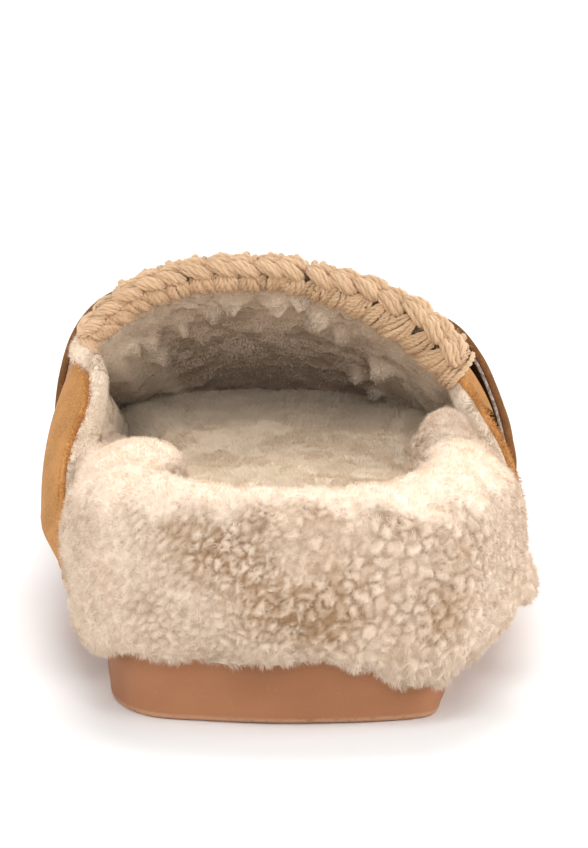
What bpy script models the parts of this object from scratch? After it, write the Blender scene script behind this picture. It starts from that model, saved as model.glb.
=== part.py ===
"""A shearling slide slipper for the right foot, standing empty on its sole.

The toe points along +Y, the lateral side is +X and the floor is z = 0. Sizes are in millimetres and
are turned into metres where a mesh is made. Every piece follows the same last: the outline of the
sole, the widest line of the upper above it, and the ridge of the instep.
"""

import math

import bmesh
import bpy
import numpy as np

MM = 0.001
GAP = 0.3  # clearance between pieces that meet
SPANS = 3  # steps between the rows of a table, on the sole, insole and fleece
DENSE_SPANS = 30  # the same, on the lines that other pieces are measured from

# Driving sizes of the sole
HEEL_END = -124.0
TOE_END = 132.0
HEEL_CENTRE = -4.0  # across the shoe, where the outline ends at the heel
TOE_CENTRE = -11.0  # across the shoe, where the outline ends at the toe
SOLE_EDGE_RADIUS = 1.6
SOLE_TOP_CHAMFER = 1.0
HEEL_BEVEL = (-114.0, 0.4)  # where the heel starts to lift, and by how much at its end
ARCH = (-45.0, 12.0, 2.6)  # where the arch starts and ends, and its height
TOE_SPRING = (58.0, 10.0)  # where the toe starts to lift, and by how much at its end

# Driving sizes of the upper
WALL = 2.4  # skin of the suede
UPPER_TOE_END = 135.0
SEAT_INSET = 1.0  # how far inside the sole's edge the upper's lower edge stands
TUCK_TURN = 40.0  # degrees of the section that lie under the widest line
CURL_DEPTH = 3.6  # of the medial quarter's free edge
CURL_LENGTH = 20.0
CURL_TURNS = (-36.0, 33.0)
CURL_FADE = 12.0  # degrees over which the curl starts and ends
ROWS_ALONG = 26
AROUND_STEP = 7.5  # degrees from one column of the upper to the next
UNDER_STEPS = 3  # columns under the widest line

# Driving sizes of the fleece
LOCK_PITCH = 11.0  # along the rim
LOCK_ROWS = 5  # from the hem to the inside
LOCK_RELIEF = 1.7
LOCKED_WAY = 88.0  # how far from the back of the heel the locks reach
WRAP_INSET = 12.0  # from the sole's edge in to the insole
WRAP_FRONT = -4.0  # where the rim ends, inside the upper
WRAP_CLEARANCE = 2.0  # between the rim and the upper's inner face
HEM_CLEARANCE = 1.0  # between the hem and the sole's side
HEM_LIFT = (-102.0, -94.0)  # where the hem climbs from the sole's side to its top
RIM_FOOT = 35.0  # height where the rim's inside leaves the insole
INNER_SHOULDER = (-6.5, -5.0)  # from the crest: out and up
OUTER_SHOULDER = (-3.0, -7.0)  # out from the bulge, up from the crest
BULGE_HEIGHT = 31.0
LOWER_BULGE = (-1.5, 21.0, 4.5)  # out from the bulge, its height, and how far it climbs with the hem
HEM_SHARE = 0.45  # the hem's place between the sole's edge and the bulge
# For each soft point of the rim's section, where along the shoe it starts and ends to move in under the
# upper. The two inner points then have a reach of their own, and the others go up to the upper's face.
RIM_TUCK_STARTS = (-84.0, -84.0, -94.0, -94.0, -94.0, -94.0, -94.0)
RIM_TUCK_ENDS = (-62.0, -62.0, -56.0, -70.0, -82.0, -84.0, -84.0)
RIM_INNER = {"medial": (-3.5, 3.0), "lateral": (-10.5, -6.5)}

# Driving sizes of the insole
INSOLE_INSET_TOE = 5.4
INSOLE_WIDENING = 30.0  # length over which the insole widens in front of the rim
# The insole's border, from its side to its flat: share of the border's width, and rise over the flat
INSOLE_DISH = 9.0
INSOLE_BORDER = ((0.0, -0.5), (0.25, 0.6), (1.0, 0.0))

# Driving sizes of the strap and the crochet band
STRAP_MIDDLE = 13.0
STRAP_WIDTH = 23.0
STRAP_THICKNESS = 2.5
STRAP_CORNER = 0.8
STRAP_ENDS = (-34.0, 214.0)
STRAP_STATIONS = 68
TRIM_ENDS = (37.0, 142.0)
STITCH_PITCH = 6.0
STITCH_RELIEF = 0.22  # share by which a stitch swells the band
STEPS_A_LOCK = 4  # sections along each lock and each stitch


class Table:
    """Rows of sizes with named columns, read between the rows along a smooth curve."""

    def __init__(self, columns, rows):
        values = np.array(rows, float).T
        self.key = values[0]
        self.columns = dict(zip(columns, values))

    def read(self, column, at):
        """The column's value where the first column has the value at."""
        keys, values = self.key, self.columns[column]
        at = min(max(at, keys[0]), keys[-1])
        slopes = np.gradient(values, keys)
        k = min(max(int(np.searchsorted(keys, at)) - 1, 0), len(keys) - 2)
        span = keys[k + 1] - keys[k]
        t = (at - keys[k]) / span
        first, last = values[k], values[k + 1]
        bend = (t - 1) * slopes[k] * span * (t - 1) * t + t * slopes[k + 1] * span * t * (t - 1)
        return first + (last - first) * t * t * (3 - 2 * t) + bend


# The bed is the outline of the footbed, which is rounder at the heel than the sole's edge.
SOLE = Table(
    ("along", "medial", "lateral", "bed_medial", "bed_lateral"),
    (
        (-121.5, -21.0, 17.0, -15.0, 8.0),
        (-117.5, -33.0, 25.5, -24.0, 16.5),
        (-107.0, -39.5, 27.8, -34.0, 24.0),
        (-90.0, -41.5, 30.0, -40.0, 29.0),
        (-62.0, -43.0, 34.0, -43.0, 34.0),
        (-40.0, -43.8, 36.5, -43.8, 36.5),
        (-12.0, -44.8, 39.0, -44.8, 39.0),
        (16.0, -46.5, 41.0, -46.5, 41.0),
        (44.0, -48.5, 42.5, -48.5, 42.5),
        (72.0, -48.5, 41.5, -48.5, 41.5),
        (98.0, -45.0, 36.5, -45.0, 36.5),
        (115.0, -38.5, 25.5, -38.5, 25.5),
        (126.0, -29.0, 9.5, -29.0, 9.5),
    ),
)

SOLE_TOP = Table(
    ("along", "height"),
    (
        (-124.0, 18.0),
        (-80.0, 17.5),
        (-30.0, 17.5),
        (20.0, 17.0),
        (60.0, 16.5),
        (100.0, 19.0),
        (135.0, 25.0),
    ),
)

# medial and lateral are the widest line, rise is its height over the upper's lower edge, ridge is where
# the instep's crest lies across the shoe, and the fullness is the exponent of each half of the section.
UPPER = Table(
    ("along", "medial", "lateral", "rise", "ridge", "medial_fullness", "lateral_fullness"),
    (
        (-80.0, -54.5, 45.5, 9.5, -8.0, 2.7, 1.65),
        (-62.0, -57.0, 47.0, 9.5, -8.0, 2.8, 1.65),
        (-40.0, -57.5, 47.0, 9.5, -8.0, 2.8, 1.65),
        (-12.0, -55.0, 45.2, 9.5, -8.0, 2.8, 1.65),
        (16.0, -53.0, 44.5, 9.5, -8.0, 2.6, 1.7),
        (44.0, -53.0, 46.0, 9.0, -8.5, 2.4, 1.85),
        (72.0, -52.3, 45.0, 8.5, -9.0, 2.3, 2.0),
        (98.0, -48.5, 40.0, 8.0, -9.5, 2.2, 2.15),
        (115.0, -42.0, 29.5, 7.5, -10.5, 2.2, 2.2),
        (128.0, -31.5, 12.0, 7.0, -11.0, 2.2, 2.2),
        (135.0, -11.0, -11.0, 7.0, -11.0, 2.2, 2.2),
    ),
)

RIDGE = Table(
    ("along", "height"),
    (
        (-80.0, 84.5),
        (-44.0, 80.5),
        (-12.0, 74.5),
        (16.0, 66.6),
        (44.0, 60.2),
        (72.0, 54.6),
        (98.0, 49.4),
        (115.0, 45.2),
        (128.0, 39.6),
    ),
)

# The upper's rear edge: around is the angle over the section from the medial widest line, through the
# ridge at 90, to the lateral one at 180.
REAR_EDGE = Table(
    ("around", "along"),
    (
        (-40.0, -78.0),
        (-20.0, -72.0),
        (0.0, -63.0),
        (8.0, -50.0),
        (16.0, -39.0),
        (26.0, -30.0),
        (38.0, -23.0),
        (62.0, -15.5),
        (90.0, -12.0),
        (118.0, -14.0),
        (141.0, -20.0),
        (153.0, -28.0),
        (164.0, -40.0),
        (173.0, -51.0),
        (180.0, -61.0),
        (200.0, -70.0),
        (220.0, -76.0),
    ),
)

# How far the strap stands off the upper, around the same section.
STRAP_LIFT = Table(
    ("around", "lift"),
    (
        (-40.0, 0.1),
        (-6.0, 0.2),
        (8.0, 0.6),
        (20.0, 1.2),
        (32.0, 2.2),
        (44.0, 2.4),
        (55.0, 1.2),
        (68.0, 0.3),
        (90.0, 0.2),
        (108.0, 0.2),
        (121.0, 0.6),
        (130.0, 2.4),
        (138.0, 4.3),
        (147.0, 3.6),
        (156.0, 1.9),
        (168.0, 0.3),
        (180.0, 0.1),
        (220.0, 0.1),
    ),
)

# The fleece rim, read by the way along the footbed's edge from the back of the heel, negative on the medial
# side. The bulge is measured out from the sole's edge, the crest's place from the footbed's.
RIM = Table(
    ("way", "bulge", "crest_in", "crest", "hem"),
    (
        (-170.0, 8.0, -6.5, 40.0, 14.0),
        (-120.0, 8.0, -6.5, 41.0, 14.0),
        (-85.0, 9.0, -6.0, 43.5, 13.7),
        (-60.0, 10.0, -5.0, 51.5, 13.3),
        (-40.0, 10.5, -1.0, 51.0, 13.0),
        (0.0, 9.5, 0.0, 50.0, 13.5),
        (32.0, 12.5, 1.0, 50.5, 10.0),
        (60.0, 17.5, 1.0, 51.5, 8.0),
        (85.0, 14.5, -2.5, 52.0, 10.0),
        (120.0, 8.0, -6.5, 46.5, 14.0),
        (170.0, 8.0, -6.5, 40.0, 14.0),
    ),
)

INSOLE_TOP = Table(
    ("along", "height"),
    (
        (-114.0, 35.5),
        (-80.0, 34.5),
        (-40.0, 36.0),
        (0.0, 35.5),
        (40.0, 33.0),
        (80.0, 31.5),
        (110.0, 33.5),
        (128.0, 36.0),
    ),
)

COLOURS = {
    "outsole": ((0.47, 0.19, 0.085), 0.75),
    "insole": ((0.56, 0.44, 0.32), 1.0),
    "fleece_wrap": ((0.73, 0.57, 0.41), 1.0),
    "upper": ((0.56, 0.28, 0.09), 0.95),
    "collar_trim": ((0.66, 0.44, 0.25), 0.95),
    "strap": ((0.33, 0.16, 0.055), 0.95),
}


def ease(t):
    """0 below 0, 1 above 1, and smooth between."""
    t = min(max(t, 0.0), 1.0)
    return t * t * (3 - 2 * t)


def through(points, closed, spans):
    """Points on a smooth curve through the given ones, with spans steps from each to the next."""
    points = np.array(points, float)
    count = len(points)
    if closed:
        ring = np.vstack([points[-1], points, points[:2]])
    else:
        ring = np.vstack([2 * points[0] - points[1], points, 2 * points[-1] - points[-2]])
    made = []
    for k in range(count if closed else count - 1):
        a, b, c, d = ring[k : k + 4]
        ab, bc, cd = (math.sqrt(np.linalg.norm(q - p)) for p, q in ((a, b), (b, c), (c, d)))
        leave = bc * ((b - a) / ab - (c - a) / (ab + bc) + (c - b) / bc)
        arrive = bc * ((c - b) / bc - (d - b) / (bc + cd) + (d - c) / cd)
        for t in np.arange(spans) / spans:
            bend = leave * t * (1 - t) ** 2 - arrive * t * t * (1 - t)
            made.append(b + (c - b) * t * t * (3 - 2 * t) + bend)
    if not closed:
        made.append(points[-1])
    return np.array(made)


def sole_outline(spans, prefix=""):
    """The sole's outline from above, from the heel up the medial side, round the toe and back."""
    rows = list(zip(SOLE.key, SOLE.columns[prefix + "medial"], SOLE.columns[prefix + "lateral"]))
    medial = [(x, y) for y, x, _ in rows]
    lateral = [(x, y) for y, _, x in reversed(rows)]
    ends = (HEEL_CENTRE, HEEL_END), (TOE_CENTRE, TOE_END)
    return through([ends[0], *medial, ends[1], *lateral], True, spans)


def outward(outline):
    """The outward normal at each point of an outline that runs clockwise from above."""
    along = np.roll(outline, -1, 0) - np.roll(outline, 1, 0)
    normal = np.column_stack([-along[:, 1], along[:, 0]])
    return normal / np.linalg.norm(normal, axis=1)[:, None]


def sole_bottom(y):
    """Height of the underside: flat heel and forefoot, low arch, heel bevel and toe spring."""
    bevel_start, bevel = HEEL_BEVEL
    arch_start, arch_end, arch = ARCH
    spring_start, spring = TOE_SPRING
    height = bevel * max(0.0, (bevel_start - y) / (bevel_start - HEEL_END)) ** 2
    height += spring * max(0.0, (y - spring_start) / (TOE_END - spring_start)) ** 2
    if arch_start < y < arch_end:
        height += arch * math.sin(math.pi * (y - arch_start) / (arch_end - arch_start)) ** 2
    return height


def sole_top(y):
    return SOLE_TOP.read("height", y)


DENSE_SOLE = sole_outline(DENSE_SPANS)
DENSE_BED = sole_outline(DENSE_SPANS, "bed_")


def nearest_on_sole(x, y):
    """The nearest point of the sole's outline, and the direction out from it."""
    point = np.array([x, y])
    step = np.roll(DENSE_SOLE, -1, 0) - DENSE_SOLE
    share = ((point - DENSE_SOLE) * step).sum(1) / (step**2).sum(1)
    near = DENSE_SOLE + step * np.clip(share, 0, 1)[:, None]
    away = point - near
    k = int(np.argmin(np.hypot(*away.T)))
    return near[k], away[k] / np.linalg.norm(away[k])


def widest_line(side):
    """Dense points (along, across) of the upper's widest line on one side, up to the toe."""
    other = "lateral" if side == "medial" else "medial"
    rows = list(zip(UPPER.key, UPPER.columns[side], UPPER.columns[other]))
    past_toe = [(rows[-2][2], rows[-2][0])]
    line = through([(x, y) for y, x, _ in rows] + past_toe, False, DENSE_SPANS)
    return line[: DENSE_SPANS * (len(rows) - 1) + 1, ::-1]


def ridge_line():
    """Dense points (along, height) of the instep's crest, ending upright at the toe."""
    toe = sole_top(TOE_END) + GAP + UPPER.read("rise", UPPER_TOE_END)
    rows = list(zip(RIDGE.key, RIDGE.columns["height"]))
    past_toe = (rows[-1][0], 2 * toe - rows[-1][1])
    line = through([*rows, (UPPER_TOE_END, toe), past_toe], False, DENSE_SPANS)
    return line[: DENSE_SPANS * len(rows) + 1]


WIDEST = {side: widest_line(side) for side in ("medial", "lateral")}
CREST = ridge_line()


def read_line(line, y):
    return float(np.interp(y, line[:, 0], line[:, 1]))


def rear_edge(around):
    return REAR_EDGE.read("along", around)


def edge_curl(y, around):
    """How far the medial quarter's free edge curls in, fading forwards from the edge."""
    start, end = CURL_TURNS
    beside = ease((around - start) / CURL_FADE) * ease((end - around) / CURL_FADE)
    forward = max(0.0, 1 - max(0.0, y - rear_edge(around)) / CURL_LENGTH)
    return CURL_DEPTH * beside * forward**2


def upper_point(y, around):
    """A point on the upper's outer face: y along the shoe, around in degrees over its section."""
    side = "medial" if around < 90 else "lateral"
    wide_x = read_line(WIDEST[side], y) + edge_curl(y, around)
    edge, out = nearest_on_sole(wide_x, y)
    seat = edge - out * SEAT_INSET
    rise = UPPER.read("rise", y)
    wide_z = sole_top(seat[1]) + GAP + rise
    turn = around if side == "medial" else 180 - around
    if turn < 0:
        under = -turn / TUCK_TURN
        x, y = np.array([wide_x, y]) + (seat - (wide_x, y)) * under**3
        return np.array([x, y, wide_z - rise * under])
    power = 2 / UPPER.read(side + "_fullness", y)
    ridge = UPPER.read("ridge", y)
    across = math.cos(math.radians(turn)) ** power if turn < 90 else 0.0
    up = math.sin(math.radians(turn)) ** power
    return np.array([ridge + (wide_x - ridge) * across, y, wide_z + (read_line(CREST, y) - wide_z) * up])


def upper_normal(y, around):
    """The outward normal of the upper's outer face."""
    step = 0.4
    ahead = upper_point(y + step, around) - upper_point(y - step, around)
    over = upper_point(y, around + step) - upper_point(y, around - step)
    normal = np.cross(ahead, over)
    return -normal / np.linalg.norm(normal)


def add_piece(name, points, faces, collection, root):
    """A named mesh object from points in millimetres, with its faces turned outwards and its material."""
    mesh = bpy.data.meshes.new(name)
    mesh.from_pydata([tuple(float(v) * MM for v in p) for p in points], [], faces)
    shape = bmesh.new()
    shape.from_mesh(mesh)
    bmesh.ops.recalc_face_normals(shape, faces=shape.faces)
    shape.to_mesh(mesh)
    shape.free()
    mesh.shade_smooth()
    mesh.set_sharp_from_angle(angle=math.radians(40))
    piece = bpy.data.objects.new(name, mesh)
    collection.objects.link(piece)
    piece.parent = root
    colour, roughness = COLOURS[name]
    material = bpy.data.materials.new(name)
    material.use_nodes = True
    shader = material.node_tree.nodes["Principled BSDF"]
    shader.inputs["Base Color"].default_value = (*colour, 1.0)
    shader.inputs["Roughness"].default_value = roughness
    shader.inputs["Metallic"].default_value = 0.0
    mesh.materials.append(material)
    return piece


def ring_faces(rows, columns, closed):
    """Quads between rows of points that follow each other; closed joins each row's end to its start."""
    wrap = columns if closed else columns - 1
    return [
        (
            row * columns + k,
            row * columns + (k + 1) % columns,
            (row + 1) * columns + (k + 1) % columns,
            (row + 1) * columns + k,
        )
        for row in range(rows - 1)
        for k in range(wrap)
    ]


def lid_faces(first, count):
    """Fills an outline of count points by strips across the shoe, from the heel's end to the toe's."""
    half = count // 2
    ids = [first + k for k in range(count)]
    strips = [(ids[k], ids[k + 1], ids[count - k - 1], ids[count - k]) for k in range(1, half - 1)]
    return [(ids[0], ids[1], ids[-1]), *strips, (ids[half - 1], ids[half], ids[half + 1])]


def layered_slab(name, outline, layers, collection, root):
    """A slab from an outline and layers of (inset, height function), lowest first."""
    normal = outward(outline)
    points = []
    for inset, height in layers:
        ring = outline - normal * np.broadcast_to(inset, len(outline))[:, None]
        points += [(x, y, height(y)) for x, y in ring]
    count = len(outline)
    faces = ring_faces(len(layers), count, True)
    faces += lid_faces(0, count) + lid_faces((len(layers) - 1) * count, count)
    return add_piece(name, points, faces, collection, root)


def make_outsole(collection, root):
    radius = SOLE_EDGE_RADIUS
    rounding = (
        (radius, 0.0),
        (radius * (1 - math.sin(math.radians(45))), radius * (1 - math.cos(math.radians(45)))),
        (0.0, radius),
    )
    layers = [(inset, lambda y, up=up: sole_bottom(y) + up) for inset, up in rounding]
    layers += [
        (0.0, lambda y: sole_top(y) - SOLE_TOP_CHAMFER),
        (SOLE_TOP_CHAMFER, sole_top),
    ]
    return layered_slab("outsole", sole_outline(SPANS), layers, collection, root)


def insole_inset(y):
    """Inset of the insole from the sole's edge: inside the fleece rim, then inside the upper."""
    heel = WRAP_INSET + 2 * GAP
    return heel + (INSOLE_INSET_TOE - heel) * ease((y - WRAP_FRONT) / INSOLE_WIDENING)


def make_insole(collection, root):
    outline = sole_outline(SPANS, "bed_")
    inset = np.array([insole_inset(y) for y in outline[:, 1]])
    layers = [(inset, lambda y: sole_top(y) + GAP)]
    layers += [
        (inset + share * INSOLE_DISH, lambda y, rise=rise: INSOLE_TOP.read("height", y) + rise)
        for share, rise in INSOLE_BORDER
    ]
    return layered_slab("insole", outline, layers, collection, root)


def lock_height(way, up):
    """Relief of the fleece's locks: staggered drops that swell downwards and end in a tip."""
    row = math.floor(up * LOCK_ROWS)
    drop = up * LOCK_ROWS - row
    across = way / LOCK_PITCH + 0.5 * (row % 2)
    centre = math.cos(2 * math.pi * across) * 0.5 + 0.5
    return LOCK_RELIEF * centre * (0.35 + 0.65 * (1 - drop) ** 0.5)


def inside_upper(edge, out, side):
    """The upper's inner face from a point of the footbed's edge: heights, and reaches out from the edge."""
    turns = np.linspace(-TUCK_TURN, 45, 18)
    heights, reaches = [], []
    for turn in turns:
        around = turn if side == "medial" else 180 - turn
        point = upper_point(edge[1], around) - upper_normal(edge[1], around) * (WALL + WRAP_CLEARANCE)
        heights.append(point[2])
        reaches.append(float(np.dot(point[:2] - edge, out)))
    return heights, reaches


def sole_reach(edge, out):
    """How far the sole's edge lies beyond a point of the footbed's outline."""
    away = DENSE_SOLE - edge
    beside = np.abs(away[:, 0] * out[1] - away[:, 1] * out[0])
    beside[away @ out < -5] = np.inf
    return float(away[int(np.argmin(beside))] @ out)


def rim_profile(way, edge, out):
    """The closed section of the fleece rim: points (out from the footbed's edge, height)."""
    bulge, crest_in, crest, hem = (RIM.read(c, way) for c in ("bulge", "crest_in", "crest", "hem"))
    sole = sole_reach(edge, out)
    bulge += sole
    lifted = ease((edge[1] - HEM_LIFT[0]) / (HEM_LIFT[1] - HEM_LIFT[0]))
    seat = sole_top(edge[1]) + GAP
    free = (
        (crest_in + INNER_SHOULDER[0], crest + INNER_SHOULDER[1]),
        (crest_in, crest),
        (bulge + OUTER_SHOULDER[0], crest + OUTER_SHOULDER[1]),
        (bulge, BULGE_HEIGHT),
        (bulge + LOWER_BULGE[0], LOWER_BULGE[1] + LOWER_BULGE[2] * lifted),
        (sole + HEM_SHARE * (bulge - sole), hem + (seat + 2.5 - hem) * lifted),
        (sole + HEM_CLEARANCE, hem + 1.5 + (seat - 1.0 - hem) * lifted),
    )
    soft = [(-WRAP_INSET, RIM_FOOT)]
    side = "medial" if way < 0 else "lateral"
    heights, reaches = inside_upper(edge, out, side) if edge[1] > HEM_LIFT[1] else ([0.0], [0.0])
    for k, (reach, up) in enumerate(free):
        start, end = RIM_TUCK_STARTS[k], RIM_TUCK_ENDS[k]
        tucked = ease((edge[1] - start) / (end - start))
        inner = RIM_INNER[side]
        limit = inner[k] if k < len(inner) else float(np.interp(up, heights, reaches))
        soft.append((reach + (limit - reach) * tucked, up))
    curve = through(soft, False, SPANS)
    bare = ease((edge[1] - HEM_LIFT[0]) / (RIM_TUCK_ENDS[0] - HEM_LIFT[0]))
    made = []
    for k, (reach, up) in enumerate(curve):
        share = k / (len(curve) - 1)
        relief = (1 - bare) * lock_height(way, 1 - share) * math.sin(math.pi * share) ** 0.5
        before, after = curve[max(k - 1, 0)], curve[min(k + 1, len(curve) - 1)]
        normal = np.array([before[1] - after[1], after[0] - before[0]])
        normal /= np.linalg.norm(normal)
        made.append(np.array([reach, up]) + normal * relief)
    return [(-WRAP_INSET, seat), *made, (made[-1][0], seat)]


def make_fleece_wrap(collection, root):
    """The rim from the medial flank round the heel to the lateral flank, with locks on its free face."""
    normal = outward(DENSE_BED)
    half = len(DENSE_BED) // 2
    medial = [k for k in range(half, 0, -1) if DENSE_BED[k, 1] < WRAP_FRONT]
    lateral = [k for k in range(len(DENSE_BED) - 1, half, -1) if DENSE_BED[k, 1] < WRAP_FRONT]
    route = medial + [0] + lateral
    steps = np.linalg.norm(np.diff(DENSE_BED[route], axis=0), axis=1)
    way = np.concatenate([[0.0], np.cumsum(steps)])
    way -= way[len(medial)]
    locked = np.linspace(-LOCKED_WAY, LOCKED_WAY, int(2 * LOCKED_WAY / LOCK_PITCH) * STEPS_A_LOCK + 1)
    plain_medial = np.linspace(way[0], -LOCKED_WAY, 10)[:-1]
    plain_lateral = np.linspace(LOCKED_WAY, way[-1], 10)[1:]
    stations = [*plain_medial, *locked, *plain_lateral]
    points = []
    for place in stations:
        k = route[int(np.argmin(np.abs(way - place)))]
        edge, out = DENSE_BED[k], normal[k]
        profile = rim_profile(place, edge, out)
        points += [(*(edge + out * r), z) for r, z in profile]
    columns = len(profile)
    last = (len(stations) - 1) * columns
    faces = ring_faces(len(stations), columns, True)
    faces += [tuple(range(columns)), tuple(last + k for k in range(columns))]
    return add_piece("fleece_wrap", points, faces, collection, root)


def make_upper(collection, root):
    """One open surface over the last, closed at the toe, given its wall by Solidify."""
    under = np.linspace(-TUCK_TURN, 0, UNDER_STEPS + 1)[:-1]
    over = np.arange(0, 180.1, AROUND_STEP)
    columns = [*under, *over, *(180 - under[::-1])]
    points = []
    for row in range(ROWS_ALONG):
        share = 1 - math.sin(math.pi / 2 * row / ROWS_ALONG)
        for around in columns:
            y = UPPER_TOE_END - (UPPER_TOE_END - rear_edge(around)) * share
            points.append(upper_point(y, around))
    count = len(columns)
    faces = ring_faces(ROWS_ALONG, count, False)
    tips = [len(points) + k for k in range(len(under) + 1)]
    points += [upper_point(UPPER_TOE_END, around) for around in (*under, 0.0)]
    tip_of = [*tips, *[tips[-1]] * (len(over) - 2), *reversed(tips)]
    last = (ROWS_ALONG - 1) * count
    for k in range(count - 1):
        corner = [last + k, last + k + 1, tip_of[k + 1], tip_of[k]]
        faces.append(tuple(dict.fromkeys(corner)))
    piece = add_piece("upper", points, faces, collection, root)
    if max(piece.data.polygons, key=lambda face: face.center.z).normal.z < 0:
        piece.data.flip_normals()
    shell = piece.modifiers.new("wall", "SOLIDIFY")
    shell.thickness = WALL * MM
    shell.offset = -1.0
    shell.use_even_offset = True
    return piece


def make_strap(collection, root):
    """A flat band across the instep, which follows the upper and stands off its shoulders."""
    start, end = STRAP_ENDS
    half, corner = STRAP_WIDTH / 2, STRAP_CORNER
    section = (
        (-half, corner),
        (-half + corner, 0.0),
        (half - corner, 0.0),
        (half, corner),
        (half, STRAP_THICKNESS - corner),
        (half - corner, STRAP_THICKNESS),
        (-half + corner, STRAP_THICKNESS),
        (-half, STRAP_THICKNESS - corner),
    )
    points = []
    stations = np.linspace(start, end, STRAP_STATIONS)
    for around in stations:
        lift = GAP + STRAP_LIFT.read("lift", around)
        for along, up in section:
            y = STRAP_MIDDLE + along
            points.append(upper_point(y, around) + upper_normal(y, around) * (lift + up))
    columns = len(section)
    faces = ring_faces(len(stations), columns, True)
    faces += [tuple(range(columns)), tuple((len(stations) - 1) * columns + k for k in range(columns))]
    return add_piece("strap", points, faces, collection, root)


def make_collar_trim(collection, root):
    """A crochet binding that grips the collar's edge from both faces, with its stitches raised."""
    slot_in, slot_out = -WALL - 2 * GAP, GAP
    # Each point is (out from the upper's outer face, back past the collar's edge, share of the relief).
    section = (
        (slot_out, -5.0, 0.0),
        (2.0, -5.6, 0.3),
        (3.4, -3.2, 1.0),
        (3.8, 0.2, 1.0),
        (2.4, 3.4, 0.6),
        (-0.8, 4.6, 0.8),
        (-4.2, 3.4, 1.0),
        (-6.2, 0.0, 1.0),
        (-6.4, -4.0, 0.6),
        (-5.0, -8.4, 0.4),
        (slot_in, -8.8, 0.0),
        (slot_in, GAP, 0.0),
        (slot_out, GAP, 0.0),
    )
    start, end = TRIM_ENDS
    fine = np.linspace(start, end, 400)
    line = np.array([upper_point(rear_edge(a), a) for a in fine])
    way = np.concatenate([[0.0], np.cumsum(np.linalg.norm(np.diff(line, axis=0), axis=1))])
    stitches = int(round(way[-1] / STITCH_PITCH))
    rows = stitches * STEPS_A_LOCK + 1
    middle = -WALL / 2
    points = []
    for place in np.linspace(0, way[-1], rows):
        around = float(np.interp(place, way, fine))
        swell = -STITCH_RELIEF / 2 * math.cos(2 * math.pi * stitches * place / way[-1])
        for out, back, share in section:
            y = rear_edge(around) - back
            raised = middle + (out - middle) * (1 + swell * share)
            points.append(upper_point(y, around) + upper_normal(y, around) * raised)
    columns = len(section)
    faces = ring_faces(rows, columns, True)
    faces += [tuple(range(columns)), tuple((rows - 1) * columns + k for k in range(columns))]
    return add_piece("collar_trim", points, faces, collection, root)


def stand_on_floor(pieces, root):
    """Moves the root so that the middle of all the pieces' lowest side is the origin."""
    bpy.context.view_layer.update()
    graph = bpy.context.evaluated_depsgraph_get()
    corners = [
        piece.matrix_world @ vertex.co
        for piece in pieces
        for vertex in piece.evaluated_get(graph).data.vertices
    ]
    lows = [min(corner[k] for corner in corners) for k in range(3)]
    highs = [max(corner[k] for corner in corners) for k in range(3)]
    root.location = (-(lows[0] + highs[0]) / 2, -(lows[1] + highs[1]) / 2, -lows[2])


def main():
    for old in list(bpy.data.objects):
        bpy.data.objects.remove(old)
    collection = bpy.data.collections.new("slide_slipper")
    bpy.context.scene.collection.children.link(collection)
    root = bpy.data.objects.new("slipper_root", None)
    collection.objects.link(root)
    makers = (
        make_outsole,
        make_insole,
        make_fleece_wrap,
        make_upper,
        make_collar_trim,
        make_strap,
    )
    pieces = [make(collection, root) for make in makers]
    stand_on_floor(pieces, root)


main()
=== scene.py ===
"""The looks of a shearling slide slipper for the right foot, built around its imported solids.

Sizes are in millimetres, with the toe along +Y, the lateral side along +X and the floor at z = 0. The
suede, the lining, the strap, the crochet band and the sole follow the sizes of the shoe's last; the fleece
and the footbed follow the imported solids.
"""

import math

import bpy
import numpy as np
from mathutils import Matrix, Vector
from mathutils.bvhtree import BVHTree
from mathutils.kdtree import KDTree


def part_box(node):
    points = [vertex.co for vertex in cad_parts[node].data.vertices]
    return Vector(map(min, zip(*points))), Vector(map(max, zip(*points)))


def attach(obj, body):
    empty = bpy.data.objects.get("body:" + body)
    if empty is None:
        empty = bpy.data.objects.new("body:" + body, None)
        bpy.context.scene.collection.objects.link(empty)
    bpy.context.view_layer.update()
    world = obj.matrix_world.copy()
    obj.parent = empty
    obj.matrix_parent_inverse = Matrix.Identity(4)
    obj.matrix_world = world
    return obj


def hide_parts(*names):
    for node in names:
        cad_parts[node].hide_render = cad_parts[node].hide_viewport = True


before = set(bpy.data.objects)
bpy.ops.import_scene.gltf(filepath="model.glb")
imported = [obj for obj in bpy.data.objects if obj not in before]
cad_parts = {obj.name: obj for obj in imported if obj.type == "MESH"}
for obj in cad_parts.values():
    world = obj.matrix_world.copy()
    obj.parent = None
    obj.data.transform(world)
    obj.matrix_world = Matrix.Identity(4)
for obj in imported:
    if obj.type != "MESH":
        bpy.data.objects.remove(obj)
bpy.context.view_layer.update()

MM = 0.001
GAP = 0.3  # clearance between pieces that meet
SOLID_SPANS = 3  # steps between the rows of the sole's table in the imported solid
FINE_SPANS = 12  # the same, on the sole that shows
DENSE_SPANS = 30  # the same, on the lines that other pieces are measured from

# The camera stands behind the heel
CAMERA_PLACE = (2.1, -1187.1, 289.0)
CAMERA_DOWN = 12.0  # degrees
CAMERA_LENS = 228.82
CAMERA_SENSOR = 36.0

# The sole
HEEL_END = -124.0
TOE_END = 132.0
HEEL_CENTRE = -4.0
TOE_CENTRE = -11.0
HEEL_BEVEL = (-114.0, 0.4)  # where the heel starts to lift, and by how much at its end
ARCH = (-45.0, 12.0, 2.6)  # where the arch starts and ends, and its height
TOE_SPRING = (58.0, 10.0)  # where the toe starts to lift, and by how much at its end
SOLE_EDGE_RADIUS = 1.6
SOLE_TOP_ROUNDING = 1.0

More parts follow.
